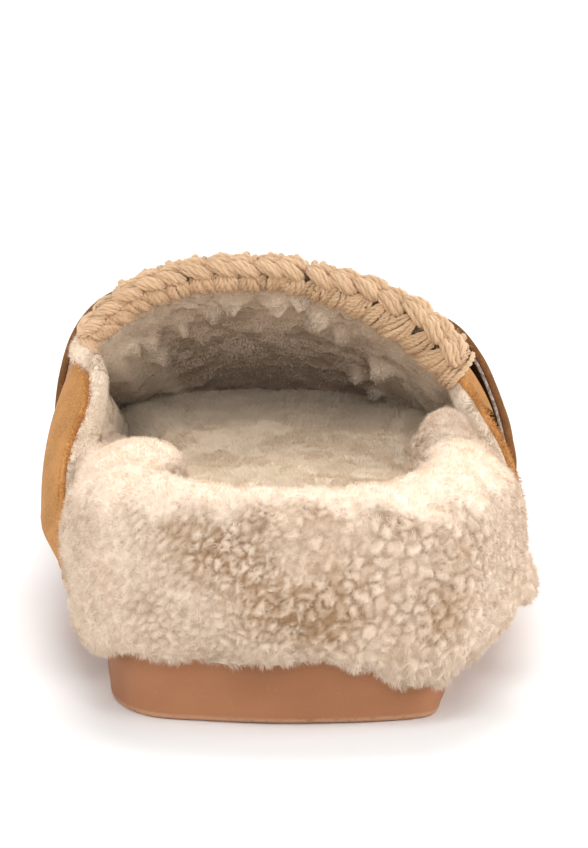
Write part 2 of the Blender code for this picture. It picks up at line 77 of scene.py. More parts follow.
# The upper
SUEDE = 1.4  # the suede's own thickness; the solid's wall also holds the base of the lining
UPPER_TOE_END = 135.0
UPPER_ROWS = 96
UPPER_STEP = 1.5  # degrees between the columns of the suede's mesh
SEAT_INSET = 1.0  # how far inside the sole's outline the lower edge stands
TUCK_TURN = 40.0  # degrees of the section below its widest line
CURL_DEPTH = 3.6  # how far the medial quarter's free edge curls in
CURL_LENGTH = 20.0  # how far forwards the curl fades out
CURL_TURNS = (-36.0, 33.0)  # the angles around the section where the curl starts and ends
CURL_FADE = 12.0
FLAP_TURN = 17.0  # the angle of that edge's soft flap
FLAP_REACH = 9.0
FLAP_DEPTH = 3.6
DENT_DEPTH = 2.4  # how far the suede falls in under the strap's lateral side
DENT_TURNS = (126.0, 166.0)
DENT_FRONT = 44.0
CORNER_FLARE = 0.6  # share of its tuck that the medial quarter's free corner lacks
CORNER_START = -45.0

# The strap and the crochet band
STRAP_MIDDLE = 13.0
STRAP_WIDTH = 23.0
STRAP_THICKNESS = 2.5
STRAP_LINING = 0.8  # the layer under the strap's suede
STRAP_ENDS = (-34.0, 214.0)  # around the section
STRAP_STATIONS = 170
STRAP_FRONT = 0.35  # share of the strap's lift that is left at its front edge
TRIM_ENDS = (37.0, 142.0)  # around the section
STITCH_PITCH = 5.6


class Table:
    """Rows of sizes with named columns, read between the rows along a smooth curve."""

    def __init__(self, columns, rows):
        values = np.array(rows, float).T
        self.key = values[0]
        self.columns = dict(zip(columns, values))

    def read(self, column, at):
        """The column's values where the first column has the values at."""
        keys, values = self.key, self.columns[column]
        at = np.clip(at, keys[0], keys[-1])
        slopes = np.gradient(values, keys)
        k = np.clip(np.searchsorted(keys, at) - 1, 0, len(keys) - 2)
        span = keys[k + 1] - keys[k]
        t = (at - keys[k]) / span
        bend = span * t * (1 - t) * (slopes[k] * (1 - t) - slopes[k + 1] * t)
        return values[k] + (values[k + 1] - values[k]) * t * t * (3 - 2 * t) + bend


SOLE = Table(
    ("along", "medial", "lateral"),
    (
        (-121.5, -21.0, 17.0),
        (-117.5, -33.0, 25.5),
        (-107.0, -39.5, 27.8),
        (-90.0, -41.5, 30.0),
        (-62.0, -43.0, 34.0),
        (-40.0, -43.8, 36.5),
        (-12.0, -44.8, 39.0),
        (16.0, -46.5, 41.0),
        (44.0, -48.5, 42.5),
        (72.0, -48.5, 41.5),
        (98.0, -45.0, 36.5),
        (115.0, -38.5, 25.5),
        (126.0, -29.0, 9.5),
    ),
)

SOLE_TOP = Table(
    ("along", "height"),
    (
        (-124.0, 18.0),
        (-80.0, 17.5),
        (-30.0, 17.5),
        (20.0, 17.0),
        (60.0, 16.5),
        (100.0, 19.0),
        (135.0, 25.0),
    ),
)

# medial and lateral are the widest line, rise is its height over the upper's lower edge, ridge is where
# the instep's crest lies across the shoe, and the fullness is the exponent of each half of the section.
UPPER = Table(
    ("along", "medial", "lateral", "rise", "ridge", "medial_fullness", "lateral_fullness"),
    (
        (-80.0, -54.5, 45.5, 9.5, -8.0, 2.7, 1.65),
        (-62.0, -57.0, 47.0, 9.5, -8.0, 2.8, 1.65),
        (-40.0, -57.5, 47.0, 9.5, -8.0, 2.8, 1.65),
        (-12.0, -55.0, 45.2, 9.5, -8.0, 2.8, 1.65),
        (16.0, -53.0, 44.5, 9.5, -8.0, 2.6, 1.7),
        (44.0, -53.0, 46.0, 9.0, -8.5, 2.4, 1.85),
        (72.0, -52.3, 45.0, 8.5, -9.0, 2.3, 2.0),
        (98.0, -48.5, 40.0, 8.0, -9.5, 2.2, 2.15),
        (115.0, -42.0, 29.5, 7.5, -10.5, 2.2, 2.2),
        (128.0, -31.5, 12.0, 7.0, -11.0, 2.2, 2.2),
        (135.0, -11.0, -11.0, 7.0, -11.0, 2.2, 2.2),
    ),
)

RIDGE = Table(
    ("along", "height"),
    (
        (-80.0, 84.5),
        (-44.0, 80.5),
        (-12.0, 74.5),
        (16.0, 66.6),
        (44.0, 60.2),
        (72.0, 54.6),
        (98.0, 49.4),
        (115.0, 45.2),
        (128.0, 39.6),
    ),
)

# The upper's rear edge: around is the angle over the section from the medial widest line, through the
# ridge at 90, to the lateral one at 180.
REAR_EDGE = Table(
    ("around", "along"),
    (
        (-40.0, -78.0),
        (-20.0, -72.0),
        (0.0, -63.0),
        (8.0, -50.0),
        (16.0, -39.0),
        (26.0, -30.0),
        (38.0, -23.0),
        (62.0, -15.5),
        (90.0, -12.0),
        (118.0, -14.0),
        (141.0, -20.0),
        (153.0, -28.0),
        (164.0, -40.0),
        (173.0, -51.0),
        (180.0, -61.0),
        (200.0, -70.0),
        (220.0, -76.0),
    ),
)

# How far the strap stands off the upper, around the same section.
STRAP_LIFT = Table(
    ("around", "lift"),
    (
        (-40.0, 0.1),
        (-6.0, 0.2),
        (8.0, 0.6),
        (20.0, 1.2),
        (32.0, 2.2),
        (44.0, 2.4),
        (55.0, 1.2),
        (68.0, 0.3),
        (90.0, 0.2),
        (108.0, 0.2),
        (121.0, 0.6),
        (130.0, 2.4),
        (138.0, 4.3),
        (147.0, 3.6),
        (156.0, 1.9),
        (168.0, 0.3),
        (180.0, 0.1),
        (220.0, 0.1),
    ),
)

# Soft creases of the vamp, which a foot bends across the ball: where each lies along the shoe at the
# ridge, how far it slants, its middle and half length around the section, its depth and half width.
CREASES = (
    {"along": 47.0, "slant": 7.0, "around": 84.0, "reach": 46.0, "depth": 1.0, "width": 4.0},
    {"along": 61.0, "slant": 3.0, "around": 96.0, "reach": 55.0, "depth": 1.3, "width": 4.6},
    {"along": 74.0, "slant": -5.0, "around": 80.0, "reach": 42.0, "depth": 0.8, "width": 4.2},
    {"along": -2.0, "slant": -14.0, "around": 22.0, "reach": 20.0, "depth": 0.9, "width": 5.0},
    {"along": -6.0, "slant": 12.0, "around": 160.0, "reach": 17.0, "depth": 0.9, "width": 5.0},
)


def ease(t):
    """0 below 0, 1 above 1, and smooth between."""
    t = np.clip(t, 0.0, 1.0)
    return t * t * (3 - 2 * t)


def unit(vectors):
    """The vectors at length 1."""
    return vectors / np.maximum(np.linalg.norm(vectors, axis=-1, keepdims=True), 1e-9)


def through(points, closed, spans):
    """Points on a smooth curve through the given ones, with spans steps from each to the next."""
    points = np.array(points, float)
    count = len(points)
    if closed:
        ring = np.vstack([points[-1], points, points[:2]])
    else:
        ring = np.vstack([2 * points[0] - points[1], points, 2 * points[-1] - points[-2]])
    made = []
    for k in range(count if closed else count - 1):
        a, b, c, d = ring[k : k + 4]
        ab, bc, cd = (math.sqrt(np.linalg.norm(q - p)) for p, q in ((a, b), (b, c), (c, d)))
        leave = bc * ((b - a) / ab - (c - a) / (ab + bc) + (c - b) / bc)
        arrive = bc * ((c - b) / bc - (d - b) / (bc + cd) + (d - c) / cd)
        for t in np.arange(spans) / spans:
            bend = leave * t * (1 - t) ** 2 - arrive * t * t * (1 - t)
            made.append(b + (c - b) * t * t * (3 - 2 * t) + bend)
    if not closed:
        made.append(points[-1])
    return np.array(made)


def sole_outline(spans):
    """The sole's outline from above, from the heel up the medial side, round the toe and back."""
    rows = list(zip(SOLE.key, SOLE.columns["medial"], SOLE.columns["lateral"]))
    medial = [(x, y) for y, x, _ in rows]
    lateral = [(x, y) for y, _, x in reversed(rows)]
    return through([(HEEL_CENTRE, HEEL_END), *medial, (TOE_CENTRE, TOE_END), *lateral], True, spans)


def sole_bottom(y):
    """Height of the underside: flat heel and forefoot, low arch, heel bevel and toe spring."""
    bevel_start, bevel = HEEL_BEVEL
    arch_start, arch_end, arch = ARCH
    spring_start, spring = TOE_SPRING
    height = bevel * np.clip((bevel_start - y) / (bevel_start - HEEL_END), 0, None) ** 2
    height += spring * np.clip((y - spring_start) / (TOE_END - spring_start), 0, None) ** 2
    return height + arch * np.sin(math.pi * np.clip((y - arch_start) / (arch_end - arch_start), 0, 1)) ** 2


def sole_top(y):
    """Height of the sole's upper face."""
    return SOLE_TOP.read("height", y)


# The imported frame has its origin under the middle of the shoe's box, and the last has its own.
SHIFT = np.array([*(np.array(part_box("outsole")[0])[:2] / MM - sole_outline(SOLID_SPANS).min(0)), 0.0])


def widest_line(side):
    """Dense points (along, across) of the upper's widest line on one side, up to the toe."""
    other = "lateral" if side == "medial" else "medial"
    rows = list(zip(UPPER.key, UPPER.columns[side], UPPER.columns[other]))
    past_toe = [(rows[-2][2], rows[-2][0])]
    line = through([(x, y) for y, x, _ in rows] + past_toe, False, DENSE_SPANS)
    return line[: DENSE_SPANS * (len(rows) - 1) + 1, ::-1]


def seat_line(widest):
    """For each point of a widest line, the place on the sole where the upper's lower edge stands."""
    outline = sole_outline(DENSE_SPANS)
    step = np.roll(outline, -1, 0) - outline
    point = widest[:, None, ::-1]
    share = ((point - outline) * step).sum(-1) / (step**2).sum(-1)
    near = outline + step * np.clip(share, 0, 1)[..., None]
    away = point - near
    nearest = np.linalg.norm(away, axis=-1).argmin(1)
    rows = np.arange(len(widest))
    return near[rows, nearest] - unit(away[rows, nearest]) * SEAT_INSET


def ridge_line():
    """Dense points (along, height) of the instep's crest, ending upright at the toe."""
    toe = sole_top(TOE_END) + GAP + UPPER.read("rise", UPPER_TOE_END)
    rows = list(zip(RIDGE.key, RIDGE.columns["height"]))
    past_toe = (rows[-1][0], 2 * toe - rows[-1][1])
    line = through([*rows, (UPPER_TOE_END, toe), past_toe], False, DENSE_SPANS)
    return line[: DENSE_SPANS * len(rows) + 1]


WIDEST = {side: widest_line(side) for side in ("medial", "lateral")}
SEATS = {side: seat_line(line) for side, line in WIDEST.items()}
CREST = ridge_line()


def rear_edge(around):
    """Where the upper ends along the shoe, at angles around its section."""
    return REAR_EDGE.read("along", around)


def edge_curl(y, around):
    """How far the medial quarter's free edge curls in, most at its flap and less farther forwards."""
    start, end = CURL_TURNS
    beside = ease((around - start) / CURL_FADE) * ease((end - around) / CURL_FADE)
    flap = np.exp(-(((around - FLAP_TURN) / FLAP_REACH) ** 2))
    forward = np.clip(1 - np.clip(y - rear_edge(around), 0, None) / CURL_LENGTH, 0, None)
    return (CURL_DEPTH * beside + FLAP_DEPTH * flap) * forward**2


def half_section(side, y, turn, curl):
    """Points of the upper's outer face on one side, turn degrees up from its widest line."""
    wide_x = np.interp(y, *WIDEST[side].T) + curl
    seat_x, seat_y = (np.interp(y, WIDEST[side][:, 0], SEATS[side][:, k]) for k in (0, 1))
    rise = UPPER.read("rise", y)
    wide_z = sole_top(seat_y) + GAP + rise
    under = np.clip(-turn / TUCK_TURN, 0, None)
    tuck = under**3
    if side == "medial":
        tuck = tuck * (1 - CORNER_FLARE * ease((CORNER_START - y) / 25.0))
    below = [wide_x + (seat_x - wide_x) * tuck, y + (seat_y - y) * tuck, wide_z - rise * under]
    power = 2 / UPPER.read(side + "_fullness", y)
    ridge = UPPER.read("ridge", y)
    over = np.radians(np.clip(turn, 0, 90))
    across = np.clip(np.cos(over), 0, None) ** power
    crest = np.interp(y, *CREST.T)
    above = [ridge + (wide_x - ridge) * across, y, wide_z + (crest - wide_z) * np.sin(over) ** power]
    return np.where((turn < 0)[..., None], np.stack(below, -1), np.stack(above, -1))


def upper_point(y, around):
    """Points on the upper's outer face: y along the shoe, around in degrees over its section."""
    y, around = (np.array(v, float) for v in np.broadcast_arrays(y, around))
    curl = edge_curl(y, around)
    medial = half_section("medial", y, around, curl)
    lateral = half_section("lateral", y, 180 - around, curl)
    return np.where((around < 90)[..., None], medial, lateral) + SHIFT


def upper_normal(y, around):
    """The outward normals of the upper's outer face."""
    step = 0.4
    ahead = upper_point(np.add(y, step), around) - upper_point(np.subtract(y, step), around)
    over = upper_point(y, np.add(around, step)) - upper_point(y, np.subtract(around, step))
    return -unit(np.cross(ahead, over))


def off_upper(y, around, out):
    """Points at a distance out from the upper's outer face."""
    return upper_point(y, around) + upper_normal(y, around) * np.asarray(out, float)[..., None]


def ripples(points, wavelength, seed, waves=20):
    """A smooth random field of about -1 to 1 at the points, from plane waves of about one wavelength."""
    rng = np.random.default_rng(seed)
    directions = unit(rng.normal(size=(waves, 3))) * rng.uniform(0.7, 1.4, (waves, 1))
    phases = rng.uniform(0, 2 * math.pi, waves)
    field = np.zeros(points.shape[:-1])
    for direction, phase in zip(directions, phases):
        field += np.sin(points @ direction * (2 * math.pi / wavelength) + phase)
    return field / math.sqrt(waves)


def grid_faces(rows, columns, closed=False):
    """Quads between rows of points that follow each other; closed joins each row's end to its start."""
    spans = columns if closed else columns - 1
    row, k = np.meshgrid(np.arange(rows - 1), np.arange(spans), indexing="ij")
    here, next_row, after = row * columns, (row + 1) * columns, (k + 1) % columns
    return np.stack([here + k, here + after, next_row + after, next_row + k], -1).reshape(-1, 4)


def lid_faces(first, count):
    """Quads that fill an outline of count points by strips across the shoe, from its heel to its toe."""
    k = np.arange(0, count // 2)
    left, right = first + k, first + (count - k) % count
    return np.stack([left[:-1], left[1:], right[1:], right[:-1]], -1)


def add_piece(name, points, faces, materials):
    """A smooth mesh object from points in millimetres and an array of equal faces."""
    mesh = bpy.data.meshes.new(name)
    points = np.asarray(points, np.float32).reshape(-1, 3) * MM
    faces = np.asarray(faces, np.int32)
    mesh.vertices.add(len(points))
    mesh.vertices.foreach_set("co", points.ravel())
    mesh.loops.add(faces.size)
    mesh.loops.foreach_set("vertex_index", faces.ravel())
    mesh.polygons.add(len(faces))
    mesh.polygons.foreach_set("loop_start", np.arange(0, faces.size, faces.shape[1], dtype=np.int32))
    mesh.update(calc_edges=True)
    mesh.shade_smooth()
    for material in materials:
        mesh.materials.append(material)
    piece = bpy.data.objects.new(name, mesh)
    bpy.context.scene.collection.objects.link(piece)
    return piece


def set_tone(piece, tone):
    """Stores how light each point's wool or yarn is, painted light and shade included, from 0 to 1, for the
    materials to read; on the suede a low tone is painted shade.
    """
    layer = piece.data.attributes.new("tone", "FLOAT", "POINT")
    layer.data.foreach_set("value", np.clip(tone, 0, 1).astype(np.float32).ravel())


def map_strands(piece, count, local):
    """Gives each strand its own cell of the map for baking; local holds a strand's spots in its cell."""
    cells = math.ceil(math.sqrt(count))
    strand = np.arange(count)
    corner = np.stack([strand % cells, strand // cells], -1)
    spots = (corner[:, None] + 0.15 + 0.7 * np.asarray(local)[None]) / cells
    mesh = piece.data
    chosen = np.empty(len(mesh.loops), np.int32)
    mesh.loops.foreach_get("vertex_index", chosen)
    layer = mesh.uv_layers.new(name="OFBake")
    layer.data.foreach_set("uv", spots.reshape(-1, 2)[chosen].astype(np.float32).ravel())


def apply_modifiers(piece):
    """Makes the piece's mesh what its modifiers give, and removes them."""
    graph = bpy.context.evaluated_depsgraph_get()
    made = bpy.data.meshes.new_from_object(piece.evaluated_get(graph))
    piece.modifiers.clear()
    piece.data = made


def weld(piece, distance):
    """Joins points that lie together, and so drops the faces that close up."""
    joint = piece.modifiers.new("weld", "WELD")
    joint.merge_threshold = distance * MM
    apply_modifiers(piece)


def belongs(piece, slot, *replaced):
    """Rides the piece on the shoe and hides the solids that it stands for; the slot is not used."""
    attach(piece, "root")
    if replaced:
        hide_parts(*replaced)


class Paint:
    """A material with short ways to add patterns, sized in millimetres. Colours are linear."""

    def __init__(self, name, roughness, sheen=0.0, sheen_tint=(1.0, 1.0, 1.0)):
        self.material = bpy.data.materials.new(name)
        self.material.use_nodes = True
        self.nodes = self.material.node_tree.nodes
        self.links = self.material.node_tree.links
        self.shader = self.nodes["Principled BSDF"]
        self.shader.inputs["Roughness"].default_value = roughness
        self.shader.inputs["Specular IOR Level"].default_value = 0.2
        self.shader.inputs["Sheen Weight"].default_value = sheen
        self.shader.inputs["Sheen Roughness"].default_value = 0.5
        self.shader.inputs["Sheen Tint"].default_value = (*sheen_tint, 1.0)
        self.place = self.nodes.new("ShaderNodeTexCoord").outputs["Object"]

    def noise(self, size, detail=2.0):
        node = self.nodes.new("ShaderNodeTexNoise")
        node.inputs["Scale"].default_value = 1 / (size * MM)
        node.inputs["Detail"].default_value = detail
        self.links.new(self.place, node.inputs["Vector"])
        return node.outputs["Fac"]

    def attribute(self, name):
        node = self.nodes.new("ShaderNodeAttribute")
        node.attribute_name = name
        return node.outputs["Fac"]

    def height(self):
        node = self.nodes.new("ShaderNodeSeparateXYZ")
        self.links.new(self.place, node.inputs[0])
        return node.outputs["Z"]

    def between(self, value, low, high):
        """0 where the value is at most low, 1 where it is at least high."""
        node = self.nodes.new("ShaderNodeMapRange")
        node.interpolation_type = "SMOOTHSTEP"
        self.links.new(value, node.inputs["Value"])
        node.inputs["From Min"].default_value = low
        node.inputs["From Max"].default_value = high
        return node.outputs["Result"]

    def mix(self, factor, first, second):
        node = self.nodes.new("ShaderNodeMix")
        node.data_type = "RGBA"
        self.links.new(factor, node.inputs[0])
        for value, socket in ((first, node.inputs[6]), (second, node.inputs[7])):
            if isinstance(value, tuple):
                socket.default_value = (*value, 1.0)
            else:
                self.links.new(value, socket)
        return node.outputs[2]

    def colour(self, value):
        self.links.new(value, self.shader.inputs["Base Color"])

    def bump(self, value, depth, strength=1.0):
        node = self.nodes.new("ShaderNodeBump")
        node.inputs["Strength"].default_value = strength
        node.inputs["Distance"].default_value = depth * MM
        self.links.new(value, node.inputs["Height"])
        self.links.new(node.outputs["Normal"], self.shader.inputs["Normal"])


def wool_material(name, deep, pale, warm):
    """Sheep's wool: dark with painted shade between the fibres, pale at their tips, with a warmer cast in
    patches.
    """
    paint = Paint(name, 0.95, sheen=0.35, sheen_tint=(1.0, 0.93, 0.84))
    fibre = paint.mix(paint.attribute("tone"), deep, pale)
    patch = paint.between(paint.noise(14.0, 3.0), 0.42, 0.72)
    paint.colour(paint.mix(patch, fibre, paint.mix(paint.attribute("tone"), deep, warm)))
    paint.bump(paint.noise(0.5, 3.0), 0.14)
    return paint.material


def suede_material(name, dark, light, nap_depth, with_painted_shade=False):
    """Napped leather: brushed patches and a soft bloom; with painted shade, the leather is darker where its
    tone is low.
    """
    paint = Paint(name, 0.95, sheen=0.06, sheen_tint=(1.0, 0.75, 0.5))
    brushed = paint.between(paint.noise(9.0, 4.0), 0.3, 0.72)
    speck = paint.between(paint.noise(0.55, 4.0), 0.3, 0.7)
    base = paint.mix(brushed, dark, light)
    deep = tuple(0.72 * c for c in dark)
    nap = paint.mix(speck, paint.mix(brushed, deep, dark), base)
    # Painted shade: a low tone takes the suede towards a quarter of its dark colour.
    if with_painted_shade:
        nap = paint.mix(paint.attribute("tone"), tuple(0.25 * c for c in dark), nap)
    paint.colour(nap)
    paint.bump(paint.noise(0.45, 5.0), nap_depth)
    return paint.material


def rubber_material(name):
    """Foam rubber with a fine grain, pale specks and paler patches in the lowest millimetre or two."""
    paint = Paint(name, 0.72)
    broad = paint.between(paint.noise(22.0, 3.0), 0.3, 0.7)
    body = paint.mix(broad, (0.315, 0.137, 0.066), (0.375, 0.167, 0.081))
    grain = paint.mix(paint.between(paint.noise(0.7, 4.0), 0.62, 0.85), body, (0.44, 0.215, 0.112))
    lower_band = paint.mix(paint.between(paint.noise(1.6, 3.0), 0.5, 0.8), (0.5, 0.28, 0.165), grain)
    paint.colour(paint.mix(paint.between(paint.height(), 0.9 * MM, 1.8 * MM), lower_band, grain))
    paint.bump(paint.noise(0.6, 5.0), 0.12)
    return paint.material


def yarn_material(name, dark, light):
    """Wool yarn, whose tone runs from dark to light; the petals' lower tone and the fibres' darker roots
    are painted shade.
    """
    paint = Paint(name, 0.9, sheen=0.35, sheen_tint=(1.0, 0.88, 0.72))
    paint.colour(paint.mix(paint.attribute("tone"), dark, light))
    paint.bump(paint.noise(0.3, 3.0), 0.12)
    return paint.material


def plain_material(name, colour, other, size, roughness):
    """A quiet two-tone surface."""
    paint = Paint(name, roughness)
    paint.colour(paint.mix(paint.between(paint.noise(size, 3.0), 0.35, 0.65), colour, other))
    return paint.material


MATERIALS = {
    # Each wool's first colour is the painted shade that its low tones take on; the others are its pale and
    # warm colours.
    "wrap": wool_material("wrap_wool", (0.31, 0.185, 0.095), (0.94, 0.80, 0.66), (0.93, 0.77, 0.62)),
    "insole": wool_material("insole_wool", (0.42, 0.31, 0.20), (0.88, 0.75, 0.595), (0.86, 0.725, 0.56)),
    "lining": wool_material("lining_wool", (0.34, 0.20, 0.095), (0.95, 0.83, 0.69), (0.93, 0.80, 0.65)),
    "suede": suede_material("upper_suede", (0.48, 0.226, 0.074), (0.575, 0.288, 0.102), 0.18, with_painted_shade=True),
    "raw_edge": suede_material("suede_raw_edge", (0.60, 0.275, 0.085), (0.78, 0.39, 0.14), 0.5),
    # The strap's suede is coloured far darker than the upper's: painted shade of a strap in shadow.
    "strap": suede_material("strap_suede", (0.19, 0.084, 0.03), (0.26, 0.122, 0.045), 0.25),
    "strap_lining": plain_material("strap_lining", (0.20, 0.15, 0.12), (0.46, 0.40, 0.36), 0.7, 0.9),
    # The strap's underside is near black: painted shade under the strap.
    "strap_underside_painted_shade": plain_material("strap_underside_painted_shade", (0.07, 0.045, 0.02), (0.11, 0.07, 0.035), 1.5, 0.95),
    "sole": rubber_material("sole_rubber"),
    "yarn": yarn_material("crochet_yarn", (0.34, 0.195, 0.09), (0.70, 0.48, 0.30)),
    # The band's core is painted dark: painted shade between the yarns.
    "yarn_core_painted_shade": plain_material("crochet_core", (0.12, 0.07, 0.035), (0.19, 0.115, 0.06), 1.2, 1.0),
}


def rounding(radius, turns):
    """Steps round an edge of the sole: in from its side, and away from its flat face."""
    return [(radius * (1 - math.cos(a)), radius * (1 - math.sin(a))) for a in turns]


def make_sole():
    """The block sole, with rounded lower and upper edges."""
    outline = sole_outline(FINE_SPANS)
    along = np.roll(outline, -1, 0) - np.roll(outline, 1, 0)
    inward = unit(np.column_stack([along[:, 1], -along[:, 0]]))
    turns = np.radians(np.linspace(90, 0, 6))
    rings = []
    for inset, up in rounding(SOLE_EDGE_RADIUS, turns):
        ring = outline + inward * inset
        rings.append(np.column_stack([ring, sole_bottom(ring[:, 1]) + up]))
    for inset, down in rounding(SOLE_TOP_ROUNDING, turns[::-1]):
        ring = outline + inward * inset
        rings.append(np.column_stack([ring, sole_top(ring[:, 1]) - down]))
    count = len(outline)
    faces = [grid_faces(len(rings), count, True), lid_faces(0, count)[:, ::-1]]
    faces.append(lid_faces((len(rings) - 1) * count, count))
    piece = add_piece("sole_block", np.array(rings) + SHIFT, np.vstack(faces), [MATERIALS["sole"]])
    weld(piece, 0.01)
    piece.data.set_sharp_from_angle(angle=math.radians(50))
    belongs(piece, "outsole", "outsole")


def crease_depth(y, around):
    """How far the vamp's creases sink its face, with a low ridge on each side of a trough."""
    depth = np.zeros(np.shape(y))
    for crease in CREASES:
        beside = (around - crease["around"]) / crease["reach"]
        away = (y - crease["along"] - crease["slant"] * beside) / crease["width"]
        trough = np.exp(-away**2) - 0.45 * np.exp(-((np.abs(away) - 1.9) ** 2))
        depth += crease["depth"] * ease(1 - np.abs(beside)) * trough
    return depth


def strap_dent(y, around):
    """How far the suede falls in under the strap's lateral side."""
    beside = ease((around - DENT_TURNS[0]) / 8.0) * ease((DENT_TURNS[1] - around) / 8.0)
    return DENT_DEPTH * beside * ease((DENT_FRONT - y) / 14.0) * ease((y - rear_edge(around) - 2.0) / 7.0)


def upper_columns(step):
    """The angles of the suede's columns around the section, from one lower edge to the other."""
    under = np.linspace(-TUCK_TURN, 0, 9)[:-1]
    over = np.arange(0, 180.01, step)
    return np.concatenate([under, over, 180 - under[::-1]])


def make_upper():
    """The suede: one skin over the last, open at the collar and underneath, with raw cut edges."""
    around = upper_columns(UPPER_STEP)
    share = 1 - np.sin(math.pi / 2 * np.arange(UPPER_ROWS + 1) / UPPER_ROWS)
    line = np.column_stack([around, np.zeros(len(around)), np.zeros(len(around))])
    edge = rear_edge(around) + 0.25 * ripples(line, 7.0, 21)
    y = UPPER_TOE_END - (UPPER_TOE_END - edge) * share[:, None]
    turns = np.broadcast_to(around, y.shape)
    points = upper_point(y, turns)
    calm = ease((np.abs(y - STRAP_MIDDLE) - STRAP_WIDTH / 2) / 8.0) * ease(share[:, None] / 0.03)
    slouch = 0.3 * ripples(points, 34.0, 22) - crease_depth(y, turns)
    slouch = slouch * calm - strap_dent(y, turns)
    points[:-1] += (upper_normal(y, turns) * slouch[..., None])[:-1]
    faces = grid_faces(UPPER_ROWS + 1, len(around))[:, ::-1]
    piece = add_piece("upper_suede", points, faces, [MATERIALS["suede"], MATERIALS["raw_edge"]])
    # Painted shade on the suede under the strap and a little behind it, where the strap stands off the
    # upper.
    under = STRAP_MIDDLE + STRAP_WIDTH / 2 - y
    behind = 0.35 * ease((STRAP_WIDTH + 14.0 - under) / 14.0)
    beneath = 0.45 * ease((STRAP_WIDTH + 3.0 - under) / 6.0)
    painted_strap_shade = ease(under / 4.0) * (behind + beneath)
    set_tone(piece, 1 - painted_strap_shade * ease((STRAP_LIFT.read("lift", turns) - 0.6) / 1.6))
    weld(piece, 0.02)
    if max(piece.data.polygons, key=lambda face: face.center.z).normal.z < 0:
        piece.data.flip_normals()
    shell = piece.modifiers.new("wall", "SOLIDIFY")
    shell.thickness = SUEDE * MM
    shell.offset = -1.0
    shell.use_even_offset = True
    shell.material_offset = 1
    shell.material_offset_rim = 1
    apply_modifiers(piece)
    belongs(piece, "upper", "upper")


def strap_layer(name, low, high, materials, bulge):
    """One layer of the strap, between two heights over the strap's underside, with rounded long edges.

    The strap lies down on the vamp in front and stands off it behind. A second material is for its long
    edges.
    """
    half = STRAP_WIDTH / 2
    middle, thick = (low + high) / 2, (high - low) / 2
    flat = np.linspace(-1, 1, 15) * (half - bulge)
    turns = np.radians(np.linspace(90, -90, 7))[1:-1]
    front = [(half - bulge + bulge * math.cos(a), middle + thick * math.sin(a)) for a in turns]
    section = [*((x, high) for x in flat), *front, *((x, low) for x in flat[::-1])]
    section += [(-x, z) for x, z in reversed(front)]
    along, up = np.array(section).T
    stations = np.linspace(*STRAP_ENDS, STRAP_STATIONS)[:, None]
    y = STRAP_MIDDLE + along[None] + 0.2 * np.sign(along) * np.sin(stations * 0.35 + along)
    stand = STRAP_FRONT + (1 - STRAP_FRONT) * ease((half - along) / STRAP_WIDTH)
    lift = GAP + STRAP_LIFT.read("lift", stations) * stand + up[None]
    turns = np.broadcast_to(stations, y.shape)
    points = off_upper(y, turns, np.broadcast_to(lift, y.shape))
    count = len(section)
    first = np.arange(count // 2)
    caps = np.stack([first[:-1], first[1:], count - 2 - first[:-1], count - 1 - first[:-1]], -1)
    last = (len(stations) - 1) * count
    faces = np.vstack([grid_faces(len(stations), count, True)[:, ::-1], caps, (caps + last)[:, ::-1]])
    piece = add_piece(name, points, faces, materials)
    if len(materials) > 1:
        edge = np.abs(along) > half - bulge - 0.01
        edge = np.tile(edge & np.roll(edge, -1), len(stations) - 1)
        chosen = np.append(edge, np.zeros(2 * len(caps))).astype(np.int32)
        piece.data.polygons.foreach_set("material_index", chosen)
    piece.data.set_sharp_from_angle(angle=math.radians(55))
    return piece


def make_strap():
    """The strap: a layer of suede over a thin one with near-black faces of painted shade and a pale edge.
    """
    suede = strap_layer("strap_suede", STRAP_LINING + 0.05, STRAP_THICKNESS, [MATERIALS["strap"]], 0.5)
    belongs(suede, "strap", "strap")
    # The lower layer's broad faces are near black, painted shade; its long edges are pale.
    inside = [MATERIALS["strap_underside_painted_shade"], MATERIALS["strap_lining"]]
    lining = strap_layer("strap_lining", 0.0, STRAP_LINING, inside, 0.35)
    belongs(lining, "strap")


def collar_line():
    """Angles around the collar and the way along its edge at each, in stitches, as a table."""
    around = np.linspace(*TRIM_ENDS, 500)
    edge = upper_point(rear_edge(around), around)
    way = np.concatenate([[0.0], np.cumsum(np.linalg.norm(np.diff(edge, axis=0), axis=1))])
    stitches = int(round(way[-1] / STITCH_PITCH))
    return around, way / way[-1] * stitches, stitches


COLLAR_AROUND, COLLAR_WAY, STITCHES = collar_line()
OFF_AXIS = np.array([0.31, 0.52, 0.79])  # a direction that no yarn runs along


def collar_side(way):
    """-1 at the band's medial end, 1 at its lateral end."""
    return 2 * way / STITCHES - 1


def collar_around(way):
    """The angles around the section at ways along the collar, past the band's ends too."""
    step = (TRIM_ENDS[1] - TRIM_ENDS[0]) / STITCHES
    past = np.clip(way - STITCHES, 0, None) + np.clip(way, None, 0)
    return np.interp(way, COLLAR_WAY, COLLAR_AROUND) + past * step


def collar_point(way, out, back):
    """Points by the collar's edge: way along it in stitches, out from the suede's face, back past the edge.

    The band bulges farther out towards its lateral end, where it fills the room under the strap.
    """
    way, out, back = np.broadcast_arrays(way, out, back)
    side = collar_side(way)
    bulge = BAND_BULGE * ease((side - 0.2) / 0.6) - BAND_TUCK * ease((-side - 0.5) / 0.5)
    around = collar_around(way)
    return off_upper(rear_edge(around) - back, around, out + bulge * ease((out + 2.0) / 4.0))


def beside_path(path, axis):
    """Two directions at each point of a path, at right angles to it and to each other."""
    along = unit(np.gradient(path, axis=axis))
    across = unit(np.cross(along, OFF_AXIS))
    return across, np.cross(along, across)


